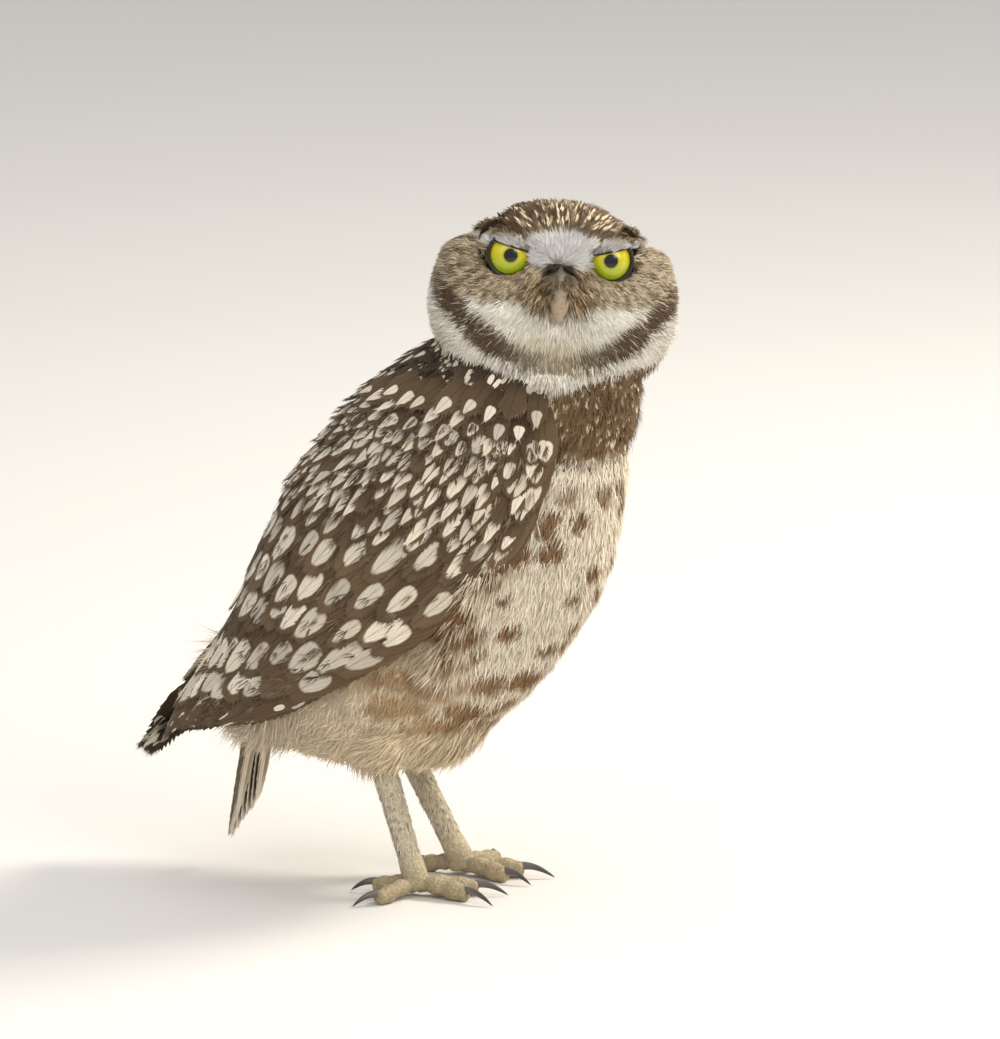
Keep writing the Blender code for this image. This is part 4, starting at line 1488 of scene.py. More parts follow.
@dataclass
class HeadCoat:
    """The short feathers of the head: face, brow, cheeks, chin strap, ring and crown."""

    skin: Skin
    finish: bpy.types.Material
    density: float = 3.4
    eye_clear: float = 7.9
    bristles: int = 1900
    lid_tufts: int = 2600
    # Least height of a lid tuft over the eye's middle, as a share of the lid's radius.
    lid_edge: float = 0.29
    lid_pale: Colour = (0.42, 0.40, 0.37)
    crown_browns: tuple[Colour, Colour] = ((0.060, 0.040, 0.024), (0.12, 0.074, 0.038))
    crown_marks: tuple[Colour, Colour] = ((0.58, 0.50, 0.39), (0.78, 0.64, 0.45))
    beak_brown: Colour = (0.30, 0.22, 0.13)
    beak_grey: Colour = (0.085, 0.075, 0.068)
    beak_buff: Colour = (0.55, 0.45, 0.31)
    beak_dark: Colour = (0.09, 0.06, 0.035)

    def build(self) -> None:
        """Makes the face and crown pieces."""
        rng = np.random.default_rng(SEED)
        places = self.skin.scatter(self.density, rng)
        places = places.pick(MARKS.on_head(places.points) > 0.35)
        ahead, side, height = HEAD.local(places.points).T
        away = np.abs(side)
        eye = np.hypot(away - HEAD.eye_side, height)
        beak = (away < 3.2) & (height < -9.5) & (height > -20) & (ahead > 17)
        clear = ((eye > self.eye_clear) | (ahead < 5)) & ~beak
        face = clear & (ahead > -3) & ((height < MARKS.brow_line(away) + 5.5) | (away > 18))
        back = clear & ~face & (rng.uniform(size=len(ahead)) < 0.72)
        self.face(places.pick(face), rng)
        self.crown(places.pick(back), rng)
        above = (height > MARKS.brow_line(away) + 4.5) & (away < 20)
        self.crown_feathers(places.pick(clear & (above | (ahead < -4)) & (height > -30)), rng)
        for side in Side:
            self.lid(side, rng)
        self.beak_bristles(rng)

    def face_shape(self, local: Array) -> tuple[Array, Array]:
        """Sizes of the face's tufts.

        Args:
            local: Head points.

        Returns:
            The length and the lift for each.
        """
        ahead, side, height = local.T
        away = np.abs(side)
        length = 3.6 + 2.9 * fade(np.hypot(away - HEAD.eye_side, height), 7, 20)
        length = length + 1.4 * (1 - fade(height, -30, -20))
        length = length - 1.2 * fade(height, 2, 8) * fade(ahead, 5, 15)
        beard = bell(away - 4.5, 4.5) * bell(height + 9, 6) * fade(ahead, 8, 16)
        length = length + 1.6 * beard
        corner = fade(away, 13, 19) * fade(height, 3, 9)
        lift = 0.20 + 0.25 * beard + 0.10 * (1 - fade(height, -34, -26)) - 0.12 * corner
        return length * (1 - 0.45 * corner), lift

    def colours(self, local: Array, rng: np.random.Generator) -> Array:
        """Tuft colours: the head's own, with pale and dark streaks by chance.

        Args:
            local: Head points.
            rng: Draws the streaks.

        Returns:
            One colour for each.
        """
        colour = MARKS.head(local + rng.normal(0, 0.3, local.shape))
        ahead, side, height = local.T
        away = np.abs(side)
        chance = rng.uniform(size=len(local))
        crown = fade(height - MARKS.brow_line(away), 4, 7)
        crown = np.maximum(crown, 1 - fade(ahead, -8, -3)) * fade(height, -26, -20)
        disc = (1 - crown) * (height > -13) * (height < 3) * (away > 7) * (ahead > 0)
        beard = (away < 9) * (height > -15) * (height < -3) * (ahead > 8)
        chin = (away < 15) * (height < -22) * (ahead > 0)
        strap = (np.abs(height - MARKS.strap_line(away)) < 5) * (ahead > -8)
        rim = (away > 29) * (height < MARKS.strap_line(away) - 5)
        for streak, share in (
            (MARKS.streak, (chance < 0.16 + 0.16 * bell(side - 5, 12)) * crown * 0.9),
            (MARKS.crown_dark, (chance > 0.80) * crown * 0.75),
            (MARKS.disc_pale, disc * (chance < 0.14) * 0.8),
            (MARKS.disc_dark, disc * (chance > 0.86) * 0.7),
            (MARKS.disc_line, beard * (chance > 0.66) * 0.85),
            (MARKS.bristle_pale, beard * (chance < 0.25) * 0.8),
            (MARKS.chin_dark, chin * (chance > 0.88) * 0.6),
            (MARKS.throat, strap * (chance < 0.05 + 0.16 * bell(side - 4, 12)) * 0.7),
            (MARKS.disc, rim * (chance > 0.74) * 0.8),
        ):
            colour = mix(colour, streak, share)
        return vary(colour, rng, 0.10)

    def face(self, places: Places, rng: np.random.Generator) -> None:
        """Makes the face's fine tufts, in a piece for each side.

        Args:
            places: Where they grow.
            rng: Draws colours and leans.
        """
        local = HEAD.local(places.points)
        length, lift = self.face_shape(local)
        for word, mine in (("right", local[:, 1] < 0), ("left", local[:, 1] >= 0)):
            coat = Plumage(f"coat_face_{word}", round_head)
            dress = Dress.plain(self.colours(local[mine], rng))
            coat.tufts(places.pick(mine), length[mine], lift[mine], dress, rng, TuftForm(0.17, 0.26, 0.5, 6))
            coat.build(self.finish, Slot.HEAD)

    def crown(self, places: Places, rng: np.random.Generator) -> None:
        """Makes the loose tufts of the crown, nape and sides.

        Args:
            places: Where they may grow.
            rng: Draws places, colours and leans.
        """
        places = places.pick(rng.uniform(size=len(places.points)) < 0.10)
        count = len(places.points)
        coat = Plumage("coat_crown", round_head)
        dress = Dress.plain(self.colours(HEAD.local(places.points), rng))
        length = rng.uniform(3.8, 5.4, count)
        coat.tufts(places, length, np.full(count, 0.18), dress, rng, TuftForm(0.18, 0.2, 0.6))
        coat.build(self.finish, Slot.HEAD)

    def crown_feathers(self, places: Places, rng: np.random.Generator) -> None:
        """Makes the small streaked vanes that give crown and nape their pattern.

        Args:
            places: Where they may grow.
            rng: Draws places, sizes and colours.
        """
        places = places.thinned(2.0, rng)
        count = len(places.points)
        half = rng.uniform(1.6, 2.1, count)
        ahead, side, _ = HEAD.local(places.points).T
        corner = fade(np.abs(side), 12, 18) * fade(ahead, -6, 4)
        length = rng.uniform(6.0, 7.6, count) * (1 - 0.4 * corner)
        spine, outward = self.skin.spines(places, length, 0.7 - 0.5 * corner, len(SMALL))
        warm = bell(side - 8, 16)
        base = vary(mix(*self.crown_browns, np.maximum(warm, corner)), rng, 0.2)
        mark = vary(mix(*self.crown_marks, warm), rng, 0.15)
        marked = rng.uniform(size=count) < 0.75
        marking = np.column_stack([np.zeros(count), np.ones(count), np.full(count, -0.22)])
        wide = np.where(marked, rng.uniform(0.28, 0.5, count), UNMARKED)
        mark_size = np.column_stack([wide, rng.uniform(0.24, 0.36, count), np.zeros(count)])
        coat = Plumage("feathers_crown", round_head, in_order=True)
        dress = Dress(base, mark, marking, mark_size)
        coat.sheets(spine, outward, half, SMALL, 3, 0.3, dress, rng, 0.15, 0.5)
        coat.build(self.finish, Slot.HEAD)

    def lid(self, side: Side, rng: np.random.Generator) -> None:
        """Makes the short tufts on an upper lid.

        Args:
            side: The lid's side.
            rng: Draws places, colours and leans.
        """
        toward = unit(rng.normal(0, 1, (self.lid_tufts, 3)))
        slant = math.radians(HEAD.lid_slant)
        rise = toward[:, 2] * math.cos(slant) + toward[:, 1] * side.value * -math.sin(slant)
        kept = (rise > self.lid_edge) & (toward[:, 0] > 0.05)
        toward, rise = toward[kept], rise[kept]
        local = toward * HEAD.lid_radius + np.array([HEAD.eye_forward, HEAD.eye_side * side.value, 0])
        colour = mix(MARKS.head(local), self.lid_pale, 0.75 * (1 - fade(rise, 0.36, 0.62)))
        dress = Dress.plain(vary(colour, rng, 0.12))
        count, normals = len(local), toward @ HEAD.turn().T
        way = np.array([-0.35, 0.75 * side.value, 0.55]) @ HEAD.turn().T
        places = Places(HEAD.to_body(local), normals, across_plane(np.tile(way, (count, 1)), normals))
        coat = Plumage(f"lid_tufts_{side.word}", round_head)
        length = rng.uniform(2.2, 3.6, count)
        coat.tufts(places, length, np.full(count, 0.16), dress, rng, TuftForm(0.16, 0.25, 0.4))
        coat.build(self.finish, Slot.HEAD)

    def beak_bristles(self, rng: np.random.Generator) -> None:
        """Makes the bristles that grow over the root and the sides of the beak.

        Args:
            rng: Draws places, colours and leans.
        """
        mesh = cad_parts["beak_upper"].data
        middles = (np.array([tuple(face.center) for face in mesh.polygons]) - np.array(SHIFT)) / MM
        facing = np.array([tuple(face.normal) for face in mesh.polygons])
        area = np.array([face.area for face in mesh.polygons])
        chosen = rng.choice(len(area), self.bristles, p=area / area.sum())
        normals = facing[chosen]
        roots = middles[chosen] + rng.normal(0, 0.3, normals.shape) + normals * 0.5
        ahead, side, height = HEAD.local(roots).T
        kept = (height > -8.5 - 3.0 * fade(np.abs(side), 0.8, 3.0)) & (ahead > 15)
        roots, normals, side, height = roots[kept], normals[kept], side[kept], height[kept]
        count = len(roots)
        way = np.column_stack([np.full(count, 0.25), 0.35 * np.sign(side), -np.ones(count)])
        places = Places(roots, normals, across_plane(way @ HEAD.turn().T, normals))
        chance = rng.uniform(size=count)
        colour = mix(self.beak_brown, self.beak_grey, bell(side, 2.6) * fade(height, -8, -5) * 0.9)
        colour = mix(colour, self.beak_buff, (chance < 0.28) * (height < -7) * 0.8)
        colour = mix(colour, self.beak_dark, (chance > 0.7) * 0.8)
        coat = Plumage("beak_bristles", round_head)
        length = rng.uniform(3.0, 5.2, count)
        coat.tufts(places, length, np.full(count, 0.24), Dress.plain(colour), rng, TuftForm(0.14, 0.26, 0.5))
        coat.build(self.finish, Slot.HEAD)


@dataclass(frozen=True)
class DownForm:
    """One piece of down: share of places grown, length in millimetres and lift as its share."""

    share: float
    length: float
    lift: float


@dataclass
class BodyCoat:
    """The contour feathers and down of neck, breast, belly, flanks, back and legs."""

    skin: Skin
    finish: bpy.types.Material
    density: float = 2.2
    wing_cover: float = 7.5
    shoulder_lift: float = 6.0
    edge_lift: float = 0.5
    # Height under which the mantle's feathers carry three spots, not two.
    spotted_below: float = 181.0
    collar_spot: Colour = (0.80, 0.70, 0.54)

    def build(self) -> None:
        """Makes the body's coat pieces."""
        rng = np.random.default_rng(SEED + 1)
        places = self.skin.scatter(self.density, rng)
        points = places.points
        shoulder = (points[:, 2] > 153) & (MARKS.turn(points) > 50)
        places = places.pick((MARKS.on_head(points) < 0.5) & (shoulder | ~self.under_wings(points)))
        turn, side, z = MARKS.turn(places.points), places.points[:, 1], places.points[:, 2]
        legs = z < 47
        mantle = ((turn > 50) & (z > 140)) | ((turn > 118) & (z > 84))
        breast = ~legs & ~mantle & (z > 60) & (turn < 100)
        belly = ~legs & ~mantle & ~breast
        self.contours("feathers_mantle", places.pick(mantle), 3.5, rng, self.mantle_dress)
        self.contours("feathers_breast", places.pick(breast & (z > 72)), 3.1, rng, self.breast_dress)
        soft = breast & ((z < 151 + 2 * ripple(turn * 0.5)) | (rng.uniform(size=len(z)) < 0.16))
        for name, mine, form in (
            ("down_breast_right", soft & (side < 0), DownForm(0.85, 6.0, 0.36)),
            ("down_breast_left", soft & (side >= 0), DownForm(0.85, 6.0, 0.36)),
            ("down_belly", belly, DownForm(0.60, 8.5, 0.26)),
            ("down_mantle", mantle, DownForm(0.22, 5.5, 0.20)),
            ("down_legs", legs, DownForm(1.0, 2.6, 0.22)),
        ):
            self.down(name, places.pick(mine), rng, form)

    def under_wings(self, points: Array) -> Array:
        """Tells where a folded wing hides the skin well inside its edges.

        Args:
            points: Body points.

        Returns:
            True for each hidden one.
        """
        hidden = np.zeros(len(points), bool)
        along, across = np.meshgrid(np.linspace(0.03, 0.9, 40), np.linspace(0.10, 0.93, 20))
        for wing in WINGS.values():
            shell = wing.points(along.ravel(), across.ravel())
            tree = KDTree(len(shell))
            for i, place in enumerate(shell):
                tree.insert(place, i)
            tree.balance()
            hidden |= np.array([tree.find(point)[2] for point in points]) < self.wing_cover
        return hidden

    def contours(self, name: str, places: Places, spacing: float, rng: np.random.Generator,
                 dress: Callable[[Array, np.random.Generator], tuple[Dress, Array, Array]]) -> None:
        """Makes a piece of overlapping vanes.

        Args:
            name: The piece's name.
            places: Where they may grow.
            spacing: The least distance between roots.
            rng: Draws the order and the ragged edges.
            dress: Gives dress, lengths and half widths for points.
        """
        places = places.thinned(spacing, rng)
        worn, length, half = dress(places.points, rng)
        turn, z = MARKS.turn(places.points), places.points[:, 2]
        lift = 1.3 + 0.7 * fade(turn, 44, 52) + self.shoulder_lift * fade(turn, 46, 56) * bell(z - 170, 12)
        lift += self.edge_lift * bell(turn - 52, 12) * (1 - fade(z, 150, 162)) * fade(z, 84, 100)
        spine, outward = self.skin.spines(places, length, lift, len(CONTOUR))
        coat = Plumage(name, round_body, in_order=True)
        coat.sheets(spine, outward, half, CONTOUR, 5, 0.22, worn, rng, 0.16, 0.75)
        coat.build(self.finish, Slot.PALE)

    def mantle_dress(self, points: Array, rng: np.random.Generator) -> tuple[Dress, Array, Array]:
        """Dresses the dark mantle feathers, with two or three pale spots along each.

        Args:
            points: Their roots.
            rng: Draws spots and sizes.

        Returns:
            Their dress, lengths and half widths.
        """
        count, z = len(points), points[:, 2]
        low = z < self.spotted_below
        base = vary(MARKS.body(points), rng, 0.16)
        pair = rng.uniform(size=count) < 0.45
        phase = rng.uniform(-0.16, -0.02, count)
        marking = np.column_stack([np.where(pair, 0.42, 0.0), np.where(low, 3.0, 2.0), phase])
        size = rng.uniform(0.8, 1.15, count)
        shown = rng.uniform(size=count) < 0.85
        wide = np.where(shown, np.where(pair, 0.30, 0.48) * size, UNMARKED)
        mark_size = np.column_stack([wide, np.where(low, 0.11, 0.15) * size, np.full(count, 0.02)])
        mark = vary(np.tile(MARKS.spot, (count, 1)), rng, 0.12)
        length = (11.5 + 3.5 * bell(z - 170, 14)) * rng.uniform(0.9, 1.1, count)
        return Dress(base, mark, marking, mark_size), length, rng.uniform(3.0, 3.9, count)

    def breast_dress(self, points: Array, rng: np.random.Generator) -> tuple[Dress, Array, Array]:
        """Dresses the breast feathers: buff spots on brown above, brown bars on cream below.

        Args:
            points: Their roots.
            rng: Draws spots, bars and sizes.

        Returns:
            Their dress, lengths and half widths.
        """
        count, turn, z = len(points), MARKS.turn(points), points[:, 2]
        band = fade(z, 150, 156)
        high = band > 0.5
        cream = mix(MARKS.breast, MARKS.flank, fade(turn, 40, 70) * (1 - fade(z, 118, 140)))
        base = vary(mix(cream, MARKS.band, band), rng, 0.10)
        mark = mix(MARKS.bar, self.collar_spot, band)
        chance = rng.uniform(size=count)
        marked = np.where(high, chance < 0.8, (chance < 0.22) & (turn < 60))
        wide = np.where(marked, np.where(high, 0.50, 0.9) * rng.uniform(0.75, 1.15, count), UNMARKED)
        tall = np.where(high, 0.19, 0.11) * rng.uniform(0.8, 1.2, count)
        marking = np.column_stack([np.zeros(count), np.ones(count), np.full(count, -0.25)])
        dress = Dress(base, vary(mark, rng, 0.15), marking, np.column_stack([wide, tall, np.zeros(count)]))
        length = (10.0 + 3.0 * (1 - fade(z, 110, 150))) * rng.uniform(0.9, 1.1, count)
        return dress, length, rng.uniform(3.2, 4.4, count)

    def down(self, name: str, places: Places, rng: np.random.Generator, form: DownForm) -> None:
        """Makes a piece of soft tufts, longer at the vent, between the legs and along the wings' edges.

        Args:
            name: The piece's name.
            places: Where they may grow.
            rng: Draws lengths and leans.
            form: How much down, how long and how loose.
        """
        places = places.pick(rng.uniform(size=len(places.points)) < form.share)
        points, long = places.points, form.length > 4
        x, z, turn = points[:, 0], points[:, 2], MARKS.turn(points)
        colour = vary(MARKS.body(points + rng.normal(0, 0.45, points.shape)), rng, 0.09)
        vent = (1 - fade(x, -48, -30)) * (1 - fade(z, 72, 84)) * fade(z, 46, 58) * long
        apron = bell(x - 24, 12) * (1 - fade(z, 52, 62)) * long
        size = rng.uniform(0.75, 1.2, len(points)) * form.length * (1 + 0.9 * vent + 0.5 * apron)
        edge = bell(turn - 52, 9) * fade(z, 74, 84) * (1 - fade(z, 162, 170))
        rise = form.lift * (1 + 0.8 * vent + 1.2 * apron + 1.3 * edge)
        pale = edge * fade(z, 138, 150) * (rng.uniform(size=len(points)) < 0.6)
        colour = mix(colour, MARKS.breast, pale * 0.8)
        # Painted shade: each tuft darkens just under the tip of the feather above it, in scalloped rows.
        painted_scallop_shade = ((z + 2.2 * ripple(turn * 1.6)) / 7.0) % 1
        colour = colour * (1 - 0.24 * fade(painted_scallop_shade, 0.6, 1.0) * long)[:, None]
        coat = Plumage(name, round_body)
        blade = TuftForm(0.2 if long else 0.14, 0.28, 0.7)
        coat.tufts(places, size * (1 + 0.6 * edge), rise, Dress.plain(colour), rng, blade)
        coat.build(self.finish, Slot.PALE)


@dataclass(frozen=True)
class Vane:
    """One kind of wing feather: half width, brightness, and its marks.

    Mark holds the share off the shaft, and half width and half height as shares of the vane.
    """

    half_width: float
    brightness: float
    mark: tuple[float, float, float]
    marks: float = 1.0
    phase: float = -0.3

    @property
    def barred(self) -> bool:
        """Whether the feather is a flight feather with rows of marks."""
        return self.marks > 1


@dataclass(frozen=True)
class Tier:
    """One tier of wing feathers, in rows from the shoulder towards the tip.

    Roots and tips are shares along and across the wing, for the lowest and highest feather.
    """

    name: str
    rows: int
    count: int
    low_root: tuple[float, float]
    low_tip: tuple[float, float]
    high_root: tuple[float, float]
    high_tip: tuple[float, float]
    rise: float
    vane: Vane
    step: float = 0.0


TIERS = (
    Tier("primaries", 1, 9, (0.50, 0.14), (1.00, 0.16), (0.62, 0.48), (1.06, 0.70), 0.4,
         Vane(5.6, 0.72, (0.30, 0.62, 0.036), 5.0)),
    Tier("secondaries", 1, 13, (0.42, 0.04), (0.84, 0.0), (0.50, 0.95), (0.99, 0.93), 0.9,
         Vane(6.4, 0.9, (0.72, 0.27, 0.032), 4.0)),
    Tier("greater", 2, 10, (0.32, 0.03), (0.60, 0.0), (0.40, 0.98), (0.80, 0.98), 1.2,
         Vane(6.2, 0.95, (0.42, 0.70, 0.105), 1.0, -0.36), 0.10),
    Tier("median", 3, 10, (0.16, 0.03), (0.37, 0.01), (0.20, 0.98), (0.44, 0.98), 1.6,
         Vane(5.6, 1.0, (0.38, 0.64, 0.125), 1.0, -0.33), 0.08),
    Tier("lesser", 5, 11, (-0.05, 0.02), (0.11, 0.01), (-0.03, 0.99), (0.13, 0.99), 1.9,
         Vane(4.5, 0.9, (0.36, 0.56, 0.15), 1.0, -0.32), 0.055),
)


@dataclass
class Wing:
    """One folded wing: a plate dark with painted shade, and its tiers of coverts and flight feathers."""

    form: WingForm
    finish: bpy.types.Material
    tip_shift: dict[Side, float] = field(default_factory=lambda: {Side.RIGHT: -0.11, Side.LEFT: 0.09})
    scapular: Vane = Vane(4.1, 0.9, (0.3, 0.55, 0.21), 1.0, -0.30)
    scapulars: int = 1900
    strands: int = 520
    brown: Colour = (0.122, 0.080, 0.045)
    strand_brown: Colour = (0.115, 0.080, 0.049)
    strand_pale: Colour = (0.28, 0.22, 0.15)

    def build(self) -> None:
        """Makes the plate and the tiers."""
        rng = np.random.default_rng(SEED + 5 + self.form.side.value)
        word = self.form.side.word
        self.plate(f"wing_plate_{word}")
        for tier in TIERS:
            self.tier(tier, f"{tier.name}_{word}", rng)
        self.shoulder(f"scapulars_{word}", rng)
        self.loose_barbs(f"wing_strands_{word}", rng)

    def far_tip(self, tier: Tier) -> bool:
        """Whether a tier is the primaries of the wing whose tip shows behind the other."""
        return self.form.side is Side.LEFT and tier.name == "primaries"

    def shoulder(self, name: str, rng: np.random.Generator) -> None:
        """Makes the small spotted feathers scattered over the shoulder.

        Args:
            name: The piece's name.
            rng: Draws places, sizes and spots.
        """
        along, across = rng.uniform(-0.12, 0.22, self.scapulars), rng.uniform(0.02, 0.98, self.scapulars)
        roots = self.form.points(along, across)
        kept = thin_out(roots, np.full(len(roots), 4.6))
        along, across, count = along[kept], across[kept], len(kept)
        length = rng.uniform(0.085, 0.105, count)
        spines, normals = [], []
        for share in np.linspace(0, 1, len(CONTOUR)):
            ahead = along + length * share
            outward = self.form.normals(ahead, across)
            height = -1.0 + (3.2 + 0.5 * rng.uniform()) * share**0.8
            spines.append(self.form.points(ahead, across) + outward * height)
            normals.append(outward)
        coat = Plumage(name, self.unwrap, in_order=True)
        half = self.scapular.half_width * rng.uniform(0.85, 1.1, count)
        dress = self.dress(self.scapular, count, rng)
        coat.sheets(np.stack(spines, 1), np.stack(normals, 1), half, CONTOUR, 5, 0.2, dress, rng, 0.14, 0.7)
        coat.build(self.finish, Slot.BROWN)

    def loose_barbs(self, name: str, rng: np.random.Generator) -> None:
        """Makes the loose brown barbs that soften the wing's feathers.

        Args:
            name: The piece's name.
            rng: Draws places, colours and leans.
        """
        count = self.strands
        along, across = rng.uniform(0.0, 0.86, count), rng.uniform(0.02, 0.98, count)
        normals, surface = self.form.normals(along, across), self.form.points(along, across)
        flow = across_plane(self.form.points(along + 0.04, across * 0.985) - surface, normals)
        height = 1.0 + 1.3 * (1 - fade(along, 0.1, 0.8))
        places = Places(surface + normals * height[:, None], normals, flow)
        colour = mix(self.strand_brown, self.strand_pale, (rng.uniform(size=count) < 0.25) * 0.8)
        dress = Dress.plain(vary(colour, rng, 0.25))
        coat = Plumage(name, self.unwrap)
        length = rng.uniform(4, 8, count)
        coat.tufts(places, length, np.full(count, 0.05), dress, rng, TuftForm(0.12, 0.22, 0.9, 4))
        coat.build(self.finish, Slot.BROWN)

    def unwrap(self, points: Array) -> Array:
        """An unwrap of the wing's shell, seen from the side."""
        return np.column_stack([points[:, 0] - points[:, 2], points[:, 1] + points[:, 2]])

    def plate(self, name: str) -> None:
        """Makes the thin plate that the feathers spring from, dark with painted shade for the gaps between
        them.

        Args:
            name: The piece's name.
        """
        bm = bmesh.new()
        bmesh.ops.create_grid(bm, x_segments=60, y_segments=30, size=1)
        shares = (np.array([vert.co for vert in bm.verts]) + 1) / 2
        along, across = shares[:, 0] * 0.80, shares[:, 1] * 0.93 + 0.035
        outer = self.form.points(along, across) - self.form.normals(along, across) * 1.0
        for vert, point in zip(bm.verts, outer):
            vert.co = point
        bmesh.ops.solidify(bm, geom=bm.faces[:], thickness=0.8)
        obj = object_from_bmesh(name, bm)
        count = len(obj.data.vertices)
        # Painted shade: the plate is the mantle's brown at 0.7, darkened again by its finish, for the shade
        # in the gaps between the wing's feathers.
        set_attribute(obj.data, "base", np.tile(np.array(MARKS.mantle) * 0.7, (count, 1)))
        dress_piece(obj, SkinFinish(f"under_{name}").make(), (f"wing_{self.form.side.word}",))

    def tier(self, tier: Tier, name: str, rng: np.random.Generator) -> None:
        """Makes one tier's feathers.

        Args:
            tier: Their places and look.
            name: The piece's name.
            rng: Draws places, sizes and spots.
        """
        low_root, low_tip, high_root, high_tip = (
            np.array(end) for end in (tier.low_root, tier.low_tip, tier.high_root, tier.high_tip)
        )
        shift = self.tip_shift[self.form.side] if tier.name == "primaries" else 0
        broad = tier.vane.half_width
        steps = np.linspace(0, 1, len(FLIGHT))
        spines, normals, halves = [], [], []
        for row in range(tier.rows):
            for i in range(tier.count + row % 2):
                share = (i + 0.5 * (row % 2) - 0.25) / (tier.count - 0.5) + rng.normal(0, 0.012)
                share = np.clip(share, 0, 1)
                root = low_root * (1 - share) + high_root * share
                tip = low_tip * (1 - share) + high_tip * share
                jog = row * tier.step + rng.normal(0, 0.008)
                root[0] += jog
                tip[0] += jog + shift
                along, across = root[0] + (tip[0] - root[0]) * steps, root[1] + (tip[1] - root[1]) * steps
                outward = self.form.normals(along, across)
                layer = 0.22 * (i % 2) - 0.05 * row + 0.25 * share
                height = -1.0 + (1.0 + tier.rise + layer) * steps**0.8
                spines.append(self.form.points(along, across) + outward * height[:, None])
                normals.append(outward)
                halves.append(broad * rng.uniform(0.9, 1.08) * (1.3 if self.far_tip(tier) else 1))
        coat = Plumage(name, self.unwrap, in_order=True)
        outline = FLIGHT if tier.vane.barred else COVERT
        # Painted shade: the far wing's primaries, which lie in shadow, are drawn at 0.6 of the usual
        # brightness.
        dress = self.dress(tier.vane, len(halves), rng, 0.6 if self.far_tip(tier) else 1)
        spine, outward, half = np.array(spines), np.array(normals), np.array(halves)
        coat.sheets(spine, outward, half, outline, 7, 0.13, dress, rng, 0.06, 0.3, 4)
        coat.build(self.finish, Slot.BROWN)

    def dress(self, vane: Vane, count: int, rng: np.random.Generator, shade: float = 1.0) -> Dress:
        """Dresses brown feathers with pale spots, singly, in pairs or in rows.

        Args:
            vane: The feathers' kind.
            count: How many there are.
            rng: Draws spots and shades.
            shade: Share of the usual brightness, a painted shade for feathers in shadow.

        Returns:
            Their dress.
        """
        brown = np.array(self.brown) * vane.brightness * shade
        base = vary(np.tile(brown, (count, 1)), rng, 0.13)
        offset, wide, tall = vane.mark
        pair = (rng.uniform(size=count) < 0.15) | vane.barred
        size = rng.uniform(0.78, 1.15, count)
        anywhere, about = rng.uniform(0, 1, count), vane.phase + rng.uniform(-0.03, 0.03, count)
        phase = anywhere if vane.barred else about
        marking = np.column_stack([np.where(pair, max(offset, 0.42), 0.0), np.full(count, vane.marks), phase])
        shown = rng.uniform(size=count) < 0.9
        half = np.where(shown, np.where(pair, wide * 0.72, wide) * size, UNMARKED)
        mark_size = np.column_stack([half, tall * size, np.full(count, 0.02)])
        return Dress(base, vary(np.tile(MARKS.spot, (count, 1)), rng, 0.13), marking, mark_size)


@dataclass
class Tail:
    """The closed tail: six pairs of long feathers, striped brown and white."""

    finish: bpy.types.Material
    root: tuple[float, float, float] = (-59.5, 0.0, 86.0)
    tip: tuple[float, float, float] = (-72.3, 0.0, 14.5)
    pairs: int = 6
    half_width: float = 4.9
    fan: float = -0.5
    tip_step: float = 2.2
    layer: float = 0.8
    spread: float = 0.9
    brown: Colour = (0.19, 0.125, 0.07)
    last_brown: Colour = (0.34, 0.26, 0.17)
    stripe: Colour = (0.80, 0.74, 0.62)

    def build(self) -> None:
        """Makes the twelve feathers as one piece."""
        rng = np.random.default_rng(SEED + 9)
        root, tip = np.array(self.root), np.array(self.tip)
        length = float(np.linalg.norm(tip - root))
        along = (tip - root) / length
        side = np.array([0.0, 1.0, 0.0])
        back = np.cross(along, side)
        back = -back if back[0] > 0 else back
        steps = np.linspace(0, 1, len(COVERT))
        spines, base, offset = [], [], []
        for pair in range(self.pairs):
            for hand in (-1, 1):
                angle = math.radians(self.fan * (pair + 0.5)) * hand
                turn = np.array(Matrix.Rotation(angle, 3, Vector(back)))
                lie = turn @ along
                depth = self.layer * (pair - 2.2 + 0.25 * hand)
                start = root + side * hand * self.spread * (pair + 0.5) + along * 5 - back * depth
                reach = length - self.tip_step * pair - 5
                spines.append(start + lie * (reach * steps)[:, None])
                last = pair == self.pairs - 1
                base.append(self.last_brown if last else self.brown)
                offset.append(0.0 if last else 0.9)
        count = len(spines)
        marking = np.column_stack([offset, np.full(count, 1.0), np.full(count, 0.0)])
        mark_size = np.column_stack([np.full(count, 0.42), np.full(count, 2.0), np.full(count, 0.8)])
        mark = vary(np.tile(self.stripe, (count, 1)), rng, 0.06)
        dress = Dress(vary(np.array(base), rng, 0.1), mark, marking, mark_size)
        coat = Plumage("tail_feathers", lambda points: points[:, 1:], in_order=True)
        normals = np.tile(back, (count, len(COVERT), 1))
        half = np.full(count, self.half_width)
        coat.sheets(np.array(spines), normals, half, COVERT, 7, 0.12, dress, rng, 0.05, 0.25)
        coat.build(self.finish, Slot.BROWN, ("tail",))


def along_curve(points: list[Vector], share: Array) -> tuple[Array, Array]:
    """Follows a smooth curve through given points.

    Args:
        points: What it runs through, evenly shared out.
        share: Shares of its length.

    Returns:
        The place and the direction at each share.
    """
    table = np.column_stack([np.linspace(0, 1, len(points)), np.array(points)])
    place = smooth_rows(table, share)
    ahead = smooth_rows(table, np.minimum(share + 0.02, 1)) - smooth_rows(table, np.maximum(share - 0.02, 0))
    return place, unit(ahead)


